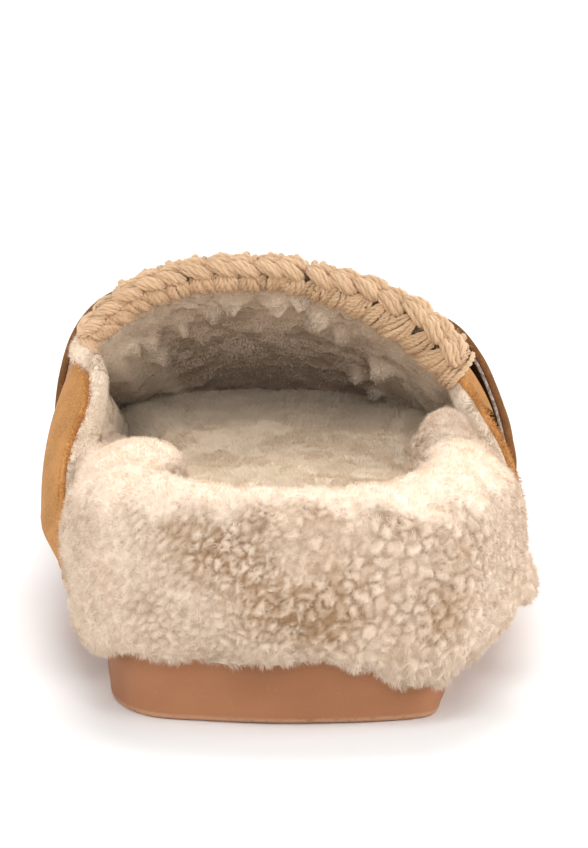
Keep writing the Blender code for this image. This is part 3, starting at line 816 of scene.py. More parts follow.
def tubes(paths, radii, sides):
    """Points and faces of closed tubes with pointed ends, and the number of points in each."""
    count, steps = paths.shape[:2]
    across, over = beside_path(paths, 1)
    turn = np.arange(sides) * 2 * math.pi / sides
    spokes = across[:, :, None] * np.cos(turn)[:, None] + over[:, :, None] * np.sin(turn)[:, None]
    rings = paths[:, :, None] + spokes * np.asarray(radii)[..., None, None]
    points = np.concatenate([rings.reshape(count, -1, 3), paths[:, :1], paths[:, -1:]], 1)
    quads = grid_faces(steps, sides, True)
    k = np.arange(sides)
    first = np.stack([np.full(sides, steps * sides), (k + 1) % sides, k], -1)
    end = (steps - 1) * sides
    last = np.stack([np.full(sides, steps * sides + 1), end + k, end + (k + 1) % sides], -1)
    faces = np.vstack([quads[:, [0, 1, 2]], quads[:, [0, 2, 3]], first, last])
    each = points.shape[1]
    faces = (faces[None] + (np.arange(count) * each)[:, None, None]).reshape(-1, 3)
    return points.reshape(-1, 3), faces, each


def twisted(path, count, radius, twist, phase):
    """Paths that wind round a path, pinched together at both ends."""
    t = np.linspace(0, 1, len(path))
    across, over = beside_path(path, 0)
    reach = radius * (0.35 + 0.65 * np.sin(math.pi * t) ** 0.6)
    made = []
    for k in range(count):
        angle = phase + 2 * math.pi * k / count + twist * t
        wide = across * np.cos(angle)[:, None] + over * np.sin(angle)[:, None]
        made.append(path + wide * reach[:, None])
    return made


# The two legs of a chain stitch over the collar's edge: way in stitches, out from the suede, back past
# its edge. Towards the lateral end the second leg stands farther out at its points.
CHAIN_LEGS = (
    ((-0.1, 0.6, 2.8), (0.3, 1.6, 2.6), (0.75, 1.7, 2.1), (1.15, 0.7, 2.2)),
    ((-0.1, 0.7, 3.2), (0.3, 0.3, 4.1), (0.75, -0.8, 4.1), (1.1, -1.4, 3.1)),
)
CHAIN_LATERAL = np.array([0.0, 0.3, 0.9, 1.4])
# The legs that run from the chain down both faces: out from the suede, back past its edge. Towards the
# lateral end the inner legs' points move by their lateral rows.
INNER_POST = ((-1.0, 3.2), (-2.3, 3.6), (-3.4, 2.8), (-4.0, 1.0), (-4.0, -1.2), (-3.1, -3.4))
INNER_LATERAL = ((1.7, 0.3), (0.9, 0.4), (0.2, 0.3), (0, 0), (0, 0), (0, 0))
OUTER_POST = ((0.7, 2.4), (2.2, 1.4), (2.4, -1.2), (2.0, -3.6), (0.4, -5.3))
POST_STRETCH = 1.3  # how much longer the inner legs are at the band's ends
# The inside of the band, painted dark as the shade between the yarns, from its outer face round the edge to
# its inner face, then back along both faces of the suede.
CORE_CURVE = (
    (1.4, -4.6),
    (1.8, -1.0),
    (0.7, 2.0),
    (-1.2, 2.4),
    (-2.5, 1.7),
    (-3.3, 0.3),
    (-3.5, -1.8),
    (-2.5, -3.6),
)
CORE_SUEDE = ((-SUEDE - 0.2, -3.6), (-SUEDE - 0.2, 0.3), (0.2, 0.3), (0.2, -4.6))
BAND_BULGE = 2.8  # how much farther the band stands out at its lateral end
BAND_TUCK = 1.2  # how much closer it lies at its medial end
YARN_RADIUS = 0.8
YARN_PLIES = 3
PLY_STEPS = 14
PLY_SIDES = 4
CHAIN_YARNS = 5  # in each leg of a chain stitch
INNER_YARNS = 6
OUTER_YARNS = 3
KNOT_YARNS = 5
CHAIN_TONE = 0.86
# The petals down the band's faces are darker than the chain over its top: painted shade.
PETAL_TONE = 0.66
KNOT_TONE = 0.88
# Loose fibres: how many, the shortest and longest, the angles at which they leave and end, their width
# and their tone.
YARN_FUZZ = {"count": 18000, "length": (0.9, 2.1), "rise": 60.0, "fall": 0.0, "width": 0.09, "tone": 0.95}
RIM_FUZZ = {"count": 9000, "length": (0.8, 1.4), "rise": 70.0, "fall": 45.0, "width": 0.14, "tone": 0.95}
EDGE_FUZZ = {"count": 5200, "length": (0.4, 1.0), "rise": 55.0, "fall": 10.0, "width": 0.16, "tone": 0.7}


def yarn(path, rng):
    """The twisted plies of one yarn along a path."""
    length = np.linalg.norm(np.diff(path, axis=0), axis=1).sum()
    return twisted(path, YARN_PLIES, 0.5 * YARN_RADIUS, length * 1.15, rng.uniform(0, 6))


def fan(stitch, post, count, spread, lean, lift, stretch, rng):
    """A petal of yarns from the chain down one face, gathered at the chain and where it enters the shoe."""
    route = resample(through([(out, back) for out, back in post], False, 4), PLY_STEPS)
    t = np.linspace(0, 1, PLY_STEPS)
    out, back = route.T
    back = np.where(back < 0, back * stretch, back)
    top, middle, end = spread
    wide = top + (end - top) * t + (middle - (top + end) / 2) * np.sin(math.pi * t**0.85) ** 1.1
    made = []
    for q in np.linspace(-1, 1, count):
        way = stitch + 0.5 + lean * t + q * wide + rng.normal(0, 0.03)
        domed = lift * (1 - q * q) * np.sin(math.pi * t) ** 0.5 + rng.normal(0, 0.15)
        if out[-2] < 0:
            around = collar_around(way)
            pad = SUEDE + lining_pad(rear_edge(around) - back, around)
            here = np.where(back < 2.0, np.minimum(out, 2.2 * t**5 - pad - 0.4), out) - domed
        else:
            here = out + domed
        made.append(collar_point(way, here, back + 0.5 * domed))
    return made


def resample(path, steps):
    """The same path with another number of points."""
    place = np.linspace(0, 1, len(path))
    return np.stack([np.interp(np.linspace(0, 1, steps), place, column) for column in path.T], -1)


def end_knot(way, slant, rng):
    """The yarns that close the band's end, wound over the suede's edge."""
    t = np.linspace(0, 1, PLY_STEPS)
    turn = math.pi * (0.02 + 0.96 * t)
    made = []
    for k in range(KNOT_YARNS):
        beside = (k / (KNOT_YARNS - 1) - 0.5) * 0.75
        out = -1.2 + 3.2 * np.cos(turn) + 0.15 * rng.normal()
        back = -3.0 + 5.8 * np.sin(turn) + 0.15 * rng.normal()
        made.append(collar_point(way + beside + slant * (t - 0.5), out, back))
    return made


def chain_stitch(stitch, lateral, rng):
    """The yarns of one chain stitch over the edge, and the tone of each."""
    wobble = rng.normal(0, 0.07, 3)
    yarns, tones = [], []
    for leg, rows in enumerate(CHAIN_LEGS):
        rows = np.array(rows) + (stitch + wobble[leg], wobble[2] * 3, 0.0)
        rows[:, 1] += lateral * leg * CHAIN_LATERAL
        centre = resample(collar_point(*through(rows, False, 4).T), PLY_STEPS)
        radius = YARN_RADIUS * (1.1 + 0.3 * lateral)
        yarns += twisted(centre, CHAIN_YARNS, radius, 1.9, rng.uniform(0, 6))
        tones += list(CHAIN_TONE + rng.normal(0, 0.05) + rng.normal(0, 0.06, CHAIN_YARNS))
    return yarns, tones


def petals(stitch, side, lateral, rng):
    """The yarns from one chain stitch down both faces, longer towards the band's ends, and their tones."""
    reach = POST_STRETCH * abs(side) ** 1.5 if side > 0 else 1.4 * POST_STRETCH * abs(side) ** 0.7
    stretch = (1 + reach) * rng.uniform(0.85, 1.25)
    lean = -1.0 * side + rng.normal(0, 0.16)
    post = np.array(INNER_POST) + lateral * np.array(INNER_LATERAL)
    yarns = fan(stitch, post, INNER_YARNS, (0.14, 0.52, 0.16), lean, 0.8, stretch, rng)
    yarns += fan(stitch, OUTER_POST, OUTER_YARNS, (0.2, 0.36, 0.16), 0.0, 0.6, 1.0, rng)
    return yarns, list(PETAL_TONE + rng.normal(0, 0.06) + rng.normal(0, 0.08, len(yarns)))


def make_crochet():
    """The crochet band: a chain over the edge, petals of yarn on both faces, a core of painted shade, and
    fuzz.
    """
    rng = np.random.default_rng(31)
    yarns, tones = [], []
    for stitch in range(STITCHES):
        side = float(collar_side(stitch + 0.5))
        lateral = float(ease((side - 0.1) / 0.6))
        for more, pale in (chain_stitch(stitch, lateral, rng), petals(stitch, side, lateral, rng)):
            yarns += more
            tones += pale
    for way, slant in ((0.0, -0.35), (float(STITCHES), 0.35)):
        yarns += end_knot(way, slant, rng)
        tones += list(KNOT_TONE + rng.normal(0, 0.06, KNOT_YARNS))
    paths = np.array([ply for path in yarns for ply in yarn(path, rng)])
    tones = np.repeat(tones, YARN_PLIES) + rng.normal(0, 0.05, len(paths))
    t = np.linspace(0, 1, PLY_STEPS)
    radii = 0.6 * YARN_RADIUS * (0.5 + 0.5 * np.sin(math.pi * t) ** 0.5)
    points, faces, each = tubes(paths, np.broadcast_to(radii, paths.shape[:2]), PLY_SIDES)
    piece = add_piece("crochet_yarn", points, faces, [MATERIALS["yarn"]])
    set_tone(piece, np.repeat(tones, each))
    rings = [
        (side / (PLY_SIDES - 1), step / (PLY_STEPS - 1))
        for step in range(PLY_STEPS)
        for side in range(PLY_SIDES)
    ]
    map_strands(piece, len(paths), [*rings, (0.5, 0.0), (0.5, 1.0)])
    belongs(piece, "collar_trim", "collar_trim")
    make_crochet_core()
    make_yarn_fuzz(paths, rng)


def make_crochet_core():
    """The inside of the band, painted dark as the shade that shows only between the yarns."""
    section = np.vstack([through(CORE_CURVE, False, 3), CORE_SUEDE])
    ways = np.linspace(0.1, STITCHES - 0.1, STITCHES * 4 + 1)
    points = collar_point(ways[:, None], section[None, :, 0], section[None, :, 1])
    faces = grid_faces(len(ways), len(section), True)
    piece = add_piece("crochet_core", points, faces, [MATERIALS["yarn_core_painted_shade"]])
    belongs(piece, "collar_trim")


def make_yarn_fuzz(paths, rng):
    """Loose fibres that stand off the yarn."""
    count = YARN_FUZZ["count"]
    chosen = rng.integers(0, len(paths), count)
    step = rng.integers(2, PLY_STEPS - 2, count)
    normal = unit(rng.normal(size=(count, 3)))
    piece = fuzz("crochet_fuzz", MATERIALS["yarn"], paths[chosen, step], normal, YARN_FUZZ, 2, rng)
    belongs(piece, "collar_trim")


def from_solid(node, name, voxel, smoothing, materials):
    """A soft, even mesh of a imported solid's form."""
    piece = bpy.data.objects.new(name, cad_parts[node].data.copy())
    piece.data.materials.clear()
    bpy.context.scene.collection.objects.link(piece)
    remesh = piece.modifiers.new("remesh", "REMESH")
    remesh.mode = "VOXEL"
    remesh.voxel_size = voxel * MM
    remesh.use_smooth_shade = True
    smooth = piece.modifiers.new("smooth", "SMOOTH")
    smooth.factor = 0.5
    smooth.iterations = smoothing
    apply_modifiers(piece)
    for material in materials:
        piece.data.materials.append(material)
    return piece


def places(piece):
    """The piece's points in millimetres, and their normals."""
    mesh = piece.data
    points = np.empty(len(mesh.vertices) * 3, np.float32)
    mesh.vertices.foreach_get("co", points)
    normals = np.empty(len(mesh.vertices) * 3, np.float32)
    mesh.vertex_normals.foreach_get("vector", normals)
    return points.reshape(-1, 3).astype(float) / MM, normals.reshape(-1, 3).astype(float)


def move_points(piece, points):
    """Puts the piece's points where the given ones lie, in millimetres."""
    piece.data.vertices.foreach_set("co", (points * MM).astype(np.float32).ravel())
    piece.data.update()


def samples(piece, density, rng):
    """Random points on the piece, density of them to a square millimetre, with the smooth normals there."""
    points, normals = places(piece)
    mesh = piece.data
    mesh.calc_loop_triangles()
    corners = np.empty(len(mesh.loop_triangles) * 3, np.int32)
    mesh.loop_triangles.foreach_get("vertices", corners)
    corners = corners.reshape(-1, 3)
    a, b, c = (points[corners[:, k]] for k in range(3))
    areas = np.linalg.norm(np.cross(b - a, c - a), axis=1) / 2
    chosen = corners[rng.choice(len(areas), int(density * areas.sum()), p=areas / areas.sum())]
    u, v = rng.random((2, len(chosen)))
    u, v = np.where(u + v > 1, (1 - u, 1 - v), (u, v))
    shares = np.stack([1 - u - v, u, v], -1)[..., None]
    return (points[chosen] * shares).sum(1), unit((normals[chosen] * shares).sum(1))


def tree_of(*nodes):
    """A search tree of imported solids, in millimetres."""
    corners, faces = [], []
    for node in nodes:
        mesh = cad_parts[node].data
        first = len(corners)
        corners += [v.co / MM for v in mesh.vertices]
        faces += [[first + k for k in face.vertices] for face in mesh.polygons]
    return BVHTree.FromPolygons(corners, faces)


def in_the_open(points, normals, tree, reach):
    """Whether nothing in the tree lies close over each point."""
    start = points + normals * 0.6
    return np.array([tree.ray_cast(Vector(p), Vector(n), reach)[0] is None for p, n in zip(start, normals)])


def thin_out(points, spacing):
    """The numbers of points that lie at least their spacing apart, taken in order."""
    cell = float(np.min(spacing))
    kept, cells = [], {}
    for k, (point, room) in enumerate(zip(points, spacing)):
        reach = int(math.ceil(room / cell))
        x, y, z = (int(v // cell) for v in point)
        near = [
            other
            for a in range(x - reach, x + reach + 1)
            for b in range(y - reach, y + reach + 1)
            for c in range(z - reach, z + reach + 1)
            for other in cells.get((a, b, c), ())
        ]
        if near and np.min(((points[near] - point) ** 2).sum(1)) < room * room:
            continue
        cells.setdefault((x, y, z), []).append(k)
        kept.append(k)
    return np.array(kept)


def point_tree(points):
    """A search tree of points."""
    tree = KDTree(len(points))
    for k, point in enumerate(points):
        tree.insert(point, k)
    tree.balance()
    return tree


def nearest(points, centres):
    """The number of the nearest centre to each point."""
    tree = point_tree(centres)
    return np.array([tree.find(point)[1] for point in points])


def tangent(vectors, normals):
    """The vectors' parts along the surface."""
    return vectors - normals * (vectors * normals).sum(-1, keepdims=True)


def grow(name, material, root, normal, pile, steps, rng):
    """One joined mesh of tapered fibres, which rise from their roots, bend over and lean to their tuft."""
    count = len(root)
    middle = (np.arange(steps) + 0.5) / steps
    rise = pile["rise"] + rng.normal(0, 9, count)
    fall = pile["fall"] + rng.normal(0, 14, count)
    angle = np.radians(rise[:, None] + (fall - rise)[:, None] * middle)
    lean = unit(tangent(pile["lean"] + rng.normal(0, 0.22, (count, 3)), normal))
    length = pile["length"] * rng.uniform(0.75, 1.2, count)
    direction = lean[:, None] * np.cos(angle)[..., None] + normal[:, None] * np.sin(angle)[..., None]
    path = np.concatenate([np.zeros((count, 1, 3)), np.cumsum(direction, 1)], 1)
    path = path * (length / steps)[:, None, None]
    path += (root - normal * 0.3)[:, None]
    t = np.arange(steps + 1) / steps
    path += ((pile["centre"] - root) * pile["gather"][:, None])[:, None] * (t**1.1)[:, None]
    path[:, 1:] += rng.normal(0, 0.14, (count, steps, 3))
    facing = normal + 0.45 * unit(rng.normal(size=(count, 3)))
    heading = unit(np.diff(path, axis=1))
    aside = unit(np.cross(heading, facing[:, None]))
    taper = np.array([1.0, 1.0, 0.72])[:steps] if steps < 4 else np.linspace(1.0, 0.6, steps)
    half = aside * (pile["width"][:, None] * taper / 2)[..., None]
    edges = np.stack([path[:, :-1] - half, path[:, :-1] + half], 2).reshape(count, -1, 3)
    points = np.concatenate([edges, path[:, -1:]], 1)
    k = 2 * np.arange(steps - 1)
    strip = [np.stack([k, k + 1, k + 3], -1), np.stack([k, k + 3, k + 2], -1)]
    one = np.vstack([*strip, [(2 * steps - 2, 2 * steps - 1, 2 * steps)]])
    each = 2 * steps + 1
    faces = (one[None] + (np.arange(count) * each)[:, None, None]).reshape(-1, 3)
    piece = add_piece(name, points, faces, [material])
    # Each fibre is darker towards its root: painted shade down in the pile.
    level = np.append(np.repeat(np.arange(steps), 2), steps) / steps
    set_tone(piece, pile["tone"][:, None] * (0.7 + 0.3 * level))
    beside = np.append(np.tile([0.0, 1.0], steps), 0.5)
    map_strands(piece, count, np.stack([beside, level], -1))
    return piece


def fuzz(name, material, root, normal, looks, steps, rng):
    """Loose fibres that lie every way."""
    count = len(root)
    pile = {column: np.full(count, looks[column]) for column in ("rise", "fall", "width", "tone")}
    pile["centre"] = root
    pile["gather"] = np.zeros(count)
    pile["lean"] = unit(rng.normal(size=(count, 3)))
    pile["length"] = rng.uniform(*looks["length"], count)
    return grow(name, material, root, normal, pile, steps, rng)


def fleece_relief(points, seed, broad, fine):
    """Relief of sheared wool in millimetres: clumps a few wide, with deeper pits between them."""
    relief = broad * (0.6 * ripples(points, 9.0, seed) + 0.5 * ripples(points, 4.6, seed + 1))
    relief = relief + fine * ripples(points, 2.6, seed + 2)
    return np.where(relief < 0, 1.5 * relief, 0.7 * relief)


def plant(piece, density, keep, cover, reach, rng):
    """Roots of fibres on a piece, thinned by keep, where no solid of the cover lies close over them."""
    root, normal = samples(piece, density, rng)
    chosen = rng.random(len(root)) < keep(root, normal)
    root, normal = root[chosen], normal[chosen]
    clear = in_the_open(root, normal, cover, reach)
    return root[clear], normal[clear]


def tufted(root, normal, spacing, looks):
    """Each root's pile, from the tuft that it stands in."""
    centre = thin_out(root, spacing)
    tuft = nearest(root, root[centre])
    pile = looks(root[centre], normal[centre])
    pile["centre"] = root[centre]
    return {name: values[tuft] for name, values in pile.items()}


def swirls(points, wavelength, seed):
    """A smooth random direction at each point."""
    return np.stack([ripples(points, wavelength, seed + k) for k in range(3)], -1)


# Each fleece: the voxels and rounds of smoothing of its base, and its fibres to a square millimetre.
WRAP_VOXEL, WRAP_SMOOTHING, WRAP_FIBRES = 0.64, 85, 12.0
INSOLE_VOXEL, INSOLE_SMOOTHING, INSOLE_FIBRES = 1.6, 30, 11.0
LINING_FIBRES = 8.5
INSOLE_FRONT = 95.0  # past this the footbed lies out of sight under the lining
INSOLE_EDGE = 1.5  # how much fuller the footbed's edge is than its solid
WRAP_STREAK = unit(np.array([0.75, 0.2, 0.6]))  # how the medial side's wool is combed

# Single tufts that stand out of the wrap: the middle of each, its radius and its height.
WRAP_BULGES = (
    {"middle": (46.0, -106.0, 20.5), "radius": 11.0, "height": 2.8},
    {"middle": (47.0, -97.0, 24.0), "radius": 6.5, "height": 6.3},
    {"middle": (-40.5, -111.0, 15.0), "radius": 8.0, "height": 2.2},
    {"middle": (-23.0, -90.0, 46.5), "radius": 11.0, "height": 4.6},
    {"middle": (-31.0, -72.0, 50.0), "radius": 7.0, "height": 1.6},
    {"middle": (33.0, -88.0, 50.0), "radius": 8.0, "height": 1.4},
)
WRAP_TUFTS = {"broad": 2.7, "fine": 1.35, "streaks": 1.35}  # how far apart the tufts stand
WRAP_COMBED = (-8.0, 26.0)  # where the combed side starts across the heel, and how far on it is full
HEM_DROP = (16.5, 38.0, 3.2)  # where the hem hangs lower: from where to where across, and how far
QUARTER_BACK = -70.0  # forwards of this the quarters cover the wrap's lower part
QUARTER_LOW = 23.0


def combed_side(points):
    """1 on the medial side, where the wrap's wool lies in streaks, and 0 elsewhere."""
    start, length = WRAP_COMBED
    return ease((start - points[:, 0]) / length)


def streaked(points):
    """The points drawn together along the streaks, so that even tufts there make long ones here."""
    return points - 0.62 * np.outer(points @ WRAP_STREAK, WRAP_STREAK)


def tuft_middles(points, spacing, rng):
    """A tree of the middles of tufts among the points, and the height of each tuft."""
    order = rng.permutation(len(points))
    room = np.full(len(points), spacing) * rng.uniform(0.75, 1.4, len(points))
    middles = points[order[thin_out(points[order], room)]]
    return point_tree(middles), rng.uniform(0.55, 1.1, len(middles))


def tuft_field(points, tufts):
    """How far each point lies inside its tuft: most in the tuft's middle, 0 in the gaps between tufts."""
    tree, heights = tufts
    found = [tree.find_n(point, 2) for point in points]
    near = np.array([(first[2], second[2]) for first, second in found])
    which = np.array([first[1] for first, _ in found])
    return heights[which] * (1 - (2 * near[:, 0] / near.sum(1)) ** 3)


def wrap_relief(points, normals, tufts):
    """The wrap's relief, and how much painted shade its gaps get.

    It has tufts of two sizes, streaks on the medial side and a smooth crest.
    """
    crest = ease((normals[:, 2] - 0.45) / 0.4)
    combed = combed_side(points)
    rough = (1 - 0.4 * combed - 0.4 * ease((-26.0 - points[:, 0]) / 14.0)) * (1 - 0.85 * crest)
    rough = rough * (1 - 0.5 * ease((points[:, 0] - 32.0) / 12.0))
    rough = rough * (0.95 + 0.35 * ripples(points, 22.0, 45))
    rough = rough * (1 - 0.35 * ease((26.0 - points[:, 2]) / 12.0))
    bent = points + 0.5 * swirls(points, 3.5, 90)
    share = 0.3 + 0.4 * ease((points[:, 0] + 2.0) / 14.0)
    field = share * tuft_field(bent, tufts["broad"]) + (1 - share) * tuft_field(bent, tufts["fine"])
    field = field + (tuft_field(streaked(points), tufts["streaks"]) - field) * combed
    relief = 1.05 * rough * field + 0.4 * ripples(points, 12.0, 42) * (1 - 0.6 * crest)
    # The second value is painted shade for the gaps between the tufts.
    return relief, rough * np.clip(0.8 - field, 0, 1)


def wrap_painted_light(points, normals):
    """How pale the wool is, as painted light and shade: a painted highlight on the crest where the wool
    faces up, painted shade on the arms' ends inside the quarters, on the medial side and in the middle of
    the heel's face.
    """
    crest = ease((normals[:, 2] - 0.4) / 0.52)
    arm = ease((points[:, 1] + 91.0) / 13.0) * ease((points[:, 0] - 5.0) / 15.0)
    painted_middle_shade = np.exp(-(((points[:, 0] - 2.0) / 20.0) ** 2) - ((points[:, 2] - 24.0) / 11.0) ** 2)
    return crest * (1 - arm) - 0.25 * arm - 0.1 * combed_side(points) - 0.12 * painted_middle_shade


def lower_hem(points):
    """Hangs the wrap's hem lower on the lateral side of the heel, and makes it wavy."""
    start, end, drop = HEM_DROP
    x, y, z = points.T
    across = drop * ease((x - start) / 5.0) * ease((end - x) / 6.0)
    points[:, 2] -= across * ease((-85.0 - y) / 10.0) * ease((25.0 - z) / 12.0)
    points[:, 2] += 0.7 * ripples(points * (1.0, 1.0, 0.0), 12.0, 57) * ease((24.0 - points[:, 2]) / 8.0)


def make_wrap():
    """The deep shearling round the heel: a soft base with tufts and gaps, and short fibres all over it."""
    rng = np.random.default_rng(41)
    base = from_solid("fleece_wrap", "wrap_base", WRAP_VOXEL, WRAP_SMOOTHING, [MATERIALS["wrap"]])
    points, normals = places(base)
    for bulge in WRAP_BULGES:
        away = np.linalg.norm(points - bulge["middle"], axis=1) / bulge["radius"]
        points = points + normals * (bulge["height"] * np.exp(-2 * away**2))[:, None]
    lower_hem(points)
    move_points(base, points)
    points, normals = places(base)
    spread = samples(base, 1.4, rng)[0]
    tufts = {
        "broad": tuft_middles(spread, WRAP_TUFTS["broad"], rng),
        "fine": tuft_middles(spread, WRAP_TUFTS["fine"], rng),
        "streaks": tuft_middles(streaked(spread), WRAP_TUFTS["streaks"], rng),
    }
    relief, gaps = wrap_relief(points, normals, tufts)
    move_points(base, points + normals * (relief - 0.9)[:, None])
    # The base's tone sits below the fibres': painted shade under the pile. Both take painted light on the
    # crest and painted shade on the arms' ends, the medial side, the middle and the gaps.
    set_tone(base, 0.62 + 0.38 * wrap_painted_light(points, normals) - 0.78 * gaps)
    belongs(base, "fleece_wrap", "fleece_wrap")

    def keep(root, normal):
        return (root[:, 1] < QUARTER_BACK) | (root[:, 2] > QUARTER_LOW)

    cover = tree_of("upper", "outsole", "insole", "strap")
    root, normal = plant(base, WRAP_FIBRES, keep, cover, 3.0, rng)
    spacing = np.clip(1.7 + 0.3 * ripples(root, 30.0, 44), 1.3, 2.3)
    pile = tufted(root, normal, spacing, lambda centre, normal: wrap_tufts(centre, normal, rng))
    # The gaps' painted shade darkens these fibres too, and the gaps shorten them.
    gaps = wrap_relief(root, normal, tufts)[1]
    pile["length"] = pile["length"] * (1 - 0.45 * np.clip(gaps, 0, 1))
    pile["tone"] = 0.8 + 0.38 * wrap_painted_light(root, normal) - 0.78 * gaps + rng.normal(0, 0.03, len(root))
    side = np.where(normal[:, 0] < -0.55, 0, np.where(normal[:, 0] > 0.55, 2, 1))
    for k, name in enumerate(("wrap_pile_medial", "wrap_pile_back", "wrap_pile_lateral")):
        here = side == k
        part = {column: values[here] for column, values in pile.items()}
        piece = grow(name, MATERIALS["wrap"], root[here], normal[here], part, 1, rng)
        belongs(piece, "fleece_wrap")


def wrap_tufts(centre, normal, rng):
    """How each tuft of the wrap grows: short all over, upright on the crest, hanging at the hem."""
    count = len(centre)
    down = tangent(np.broadcast_to((0.0, 0.0, -1.0), (count, 3)), normal)
    hem = ease((19.0 - centre[:, 2]) / 6.0)
    combed = combed_side(centre)
    lean = swirls(centre, 7.0, 51) + rng.normal(0, 0.7, (count, 3)) - 0.9 * combed[:, None] * WRAP_STREAK
    return {
        "lean": unit(tangent(lean + down * (0.3 + 2.0 * hem)[:, None], normal)),
        "length": 1.3 + 0.8 * hem + rng.normal(0, 0.12, count),
        "rise": 60 - 14 * hem,
        "fall": 50 - 14 * hem + rng.normal(0, 8, count),
        "gather": np.clip(0.22 + 0.25 * hem + rng.normal(0, 0.08, count), 0, 0.7),
        "width": np.full(count, 0.13),
    }


def make_insole():
    """The footbed: pressed shearling, with short fibres that lie every way."""
    rng = np.random.default_rng(61)
    base = from_solid("insole", "insole_base", INSOLE_VOXEL, INSOLE_SMOOTHING, [MATERIALS["insole"]])
    points, normals = places(base)
    relief = 0.5 * ripples(points, 26.0, 60) - fleece_relief(points, 62, 0.35, 0.12)
    fuller = INSOLE_EDGE * np.clip(1 - np.abs(normals[:, 2]), 0, 1) * ease((points[:, 2] - 26.0) / 4.0)
    points = points + normals * (1.0, 1.0, 0.0) * fuller[:, None]
    move_points(base, points + normals * ((relief - 0.6) * ease(normals[:, 2] / 0.5))[:, None])
    # Painted shade: the tone follows the relief, darker in its hollows and paler on its tops.
    set_tone(base, 0.78 + 0.14 * relief)
    belongs(base, "insole", "insole")

    def keep(root, normal):
        shown = (normal[:, 2] > 0.3) & (root[:, 1] < INSOLE_FRONT)
        return shown * (1 - 0.8 * ease((root[:, 1] - 5.0) / 60.0))

    def looks(centre, normal):
        count = len(centre)
        lean = swirls(centre, 20.0, 65) + rng.normal(0, 0.7, (count, 3))
        return {
            "lean": unit(tangent(lean, normal)),
            "length": 1.5 + rng.normal(0, 0.15, count),
            "rise": 66 + rng.normal(0, 6, count),
            "fall": 50 + rng.normal(0, 8, count),
            "gather": np.clip(0.12 + rng.normal(0, 0.05, count), 0.0, 0.4),
            "width": np.full(count, 0.15),
            "tone": 0.92 + 0.08 * ripples(centre, 9.0, 66) + rng.normal(0, 0.02, count),
        }

    root, normal = plant(base, INSOLE_FIBRES, keep, tree_of("fleece_wrap"), 2.0, rng)
    pile = tufted(root, normal, np.clip(2.4 + 0.5 * ripples(root, 22.0, 64), 1.6, 4.0), looks)
    piece = grow("insole_pile", MATERIALS["insole"], root, normal, pile, 1, rng)
    belongs(piece, "insole")


LINING_ENDS = (-26.0, 206.0)  # around the section
LINING_ROWS = 100
LINING_COLUMNS = 165
LINING_CLEAR = 0.2  # between the suede and the wool's own thickness
LINING_FRONT = 94.0
LINING_ROUNDING = 8.0  # length of the pad's rounded rear edge
LINING_CEILING = (2.8, 22.5)  # thickness under the instep, at the collar and over the toes
LINING_FLANK = (9.4, 13.5)  # thickness beside the foot, at the collar and by the toes
LINING_DEEP = (-14.0, 70.0)  # from where to where along the shoe the wool gets deeper
# Grooves where the wool of the flanks meets that of the ceiling: around the section at a place along the
# shoe, turn for each millimetre forwards, half width, and share of the wool's thickness that is missing.
LINING_GROOVES = (
    {"around": 33.0, "along": -27.0, "turn": -0.4, "width": 6.0, "depth": 0.6},
    {"around": 141.0, "along": -25.0, "turn": 0.55, "width": 6.0, "depth": 0.6},
)


def lining_pad(y, around):
    """Thickness of the lining: rounded at its free edge, grooved, and deeper towards the toes."""
    inside = y - rear_edge(around)
    behind = np.clip((inside - 0.4) / LINING_ROUNDING, 0, 1)
    flank = ease((np.abs(around - 90) - 48) / 34)
    deep = np.clip((y - LINING_DEEP[0]) / (LINING_DEEP[1] - LINING_DEEP[0]), 0, 1)
    ceiling, beside = (near + (far - near) * deep for near, far in (LINING_CEILING, LINING_FLANK))
    pad = (ceiling + (beside - ceiling) * flank) * np.sqrt(1 - (1 - behind) ** 2)
    for groove in LINING_GROOVES:
        away = (around - groove["around"] - groove["turn"] * (y - groove["along"])) / groove["width"]
        pad = pad * (1 - groove["depth"] * np.exp(-(away**2)) * ease((inside - 2.0) / 8.0))
    return pad


def border_faces(rows, columns):
    """Quads round the border of a grid of points, from it to a second grid whose points come after it."""
    far = rows * columns
    loop = np.concatenate(
        [
            np.arange(columns),
            np.arange(1, rows) * columns + columns - 1,
            (rows - 1) * columns + np.arange(columns - 2, -1, -1),
            np.arange(rows - 2, 0, -1) * columns,
        ]
    )
    after = np.roll(loop, -1)
    return np.stack([loop, far + loop, far + after, after], -1)


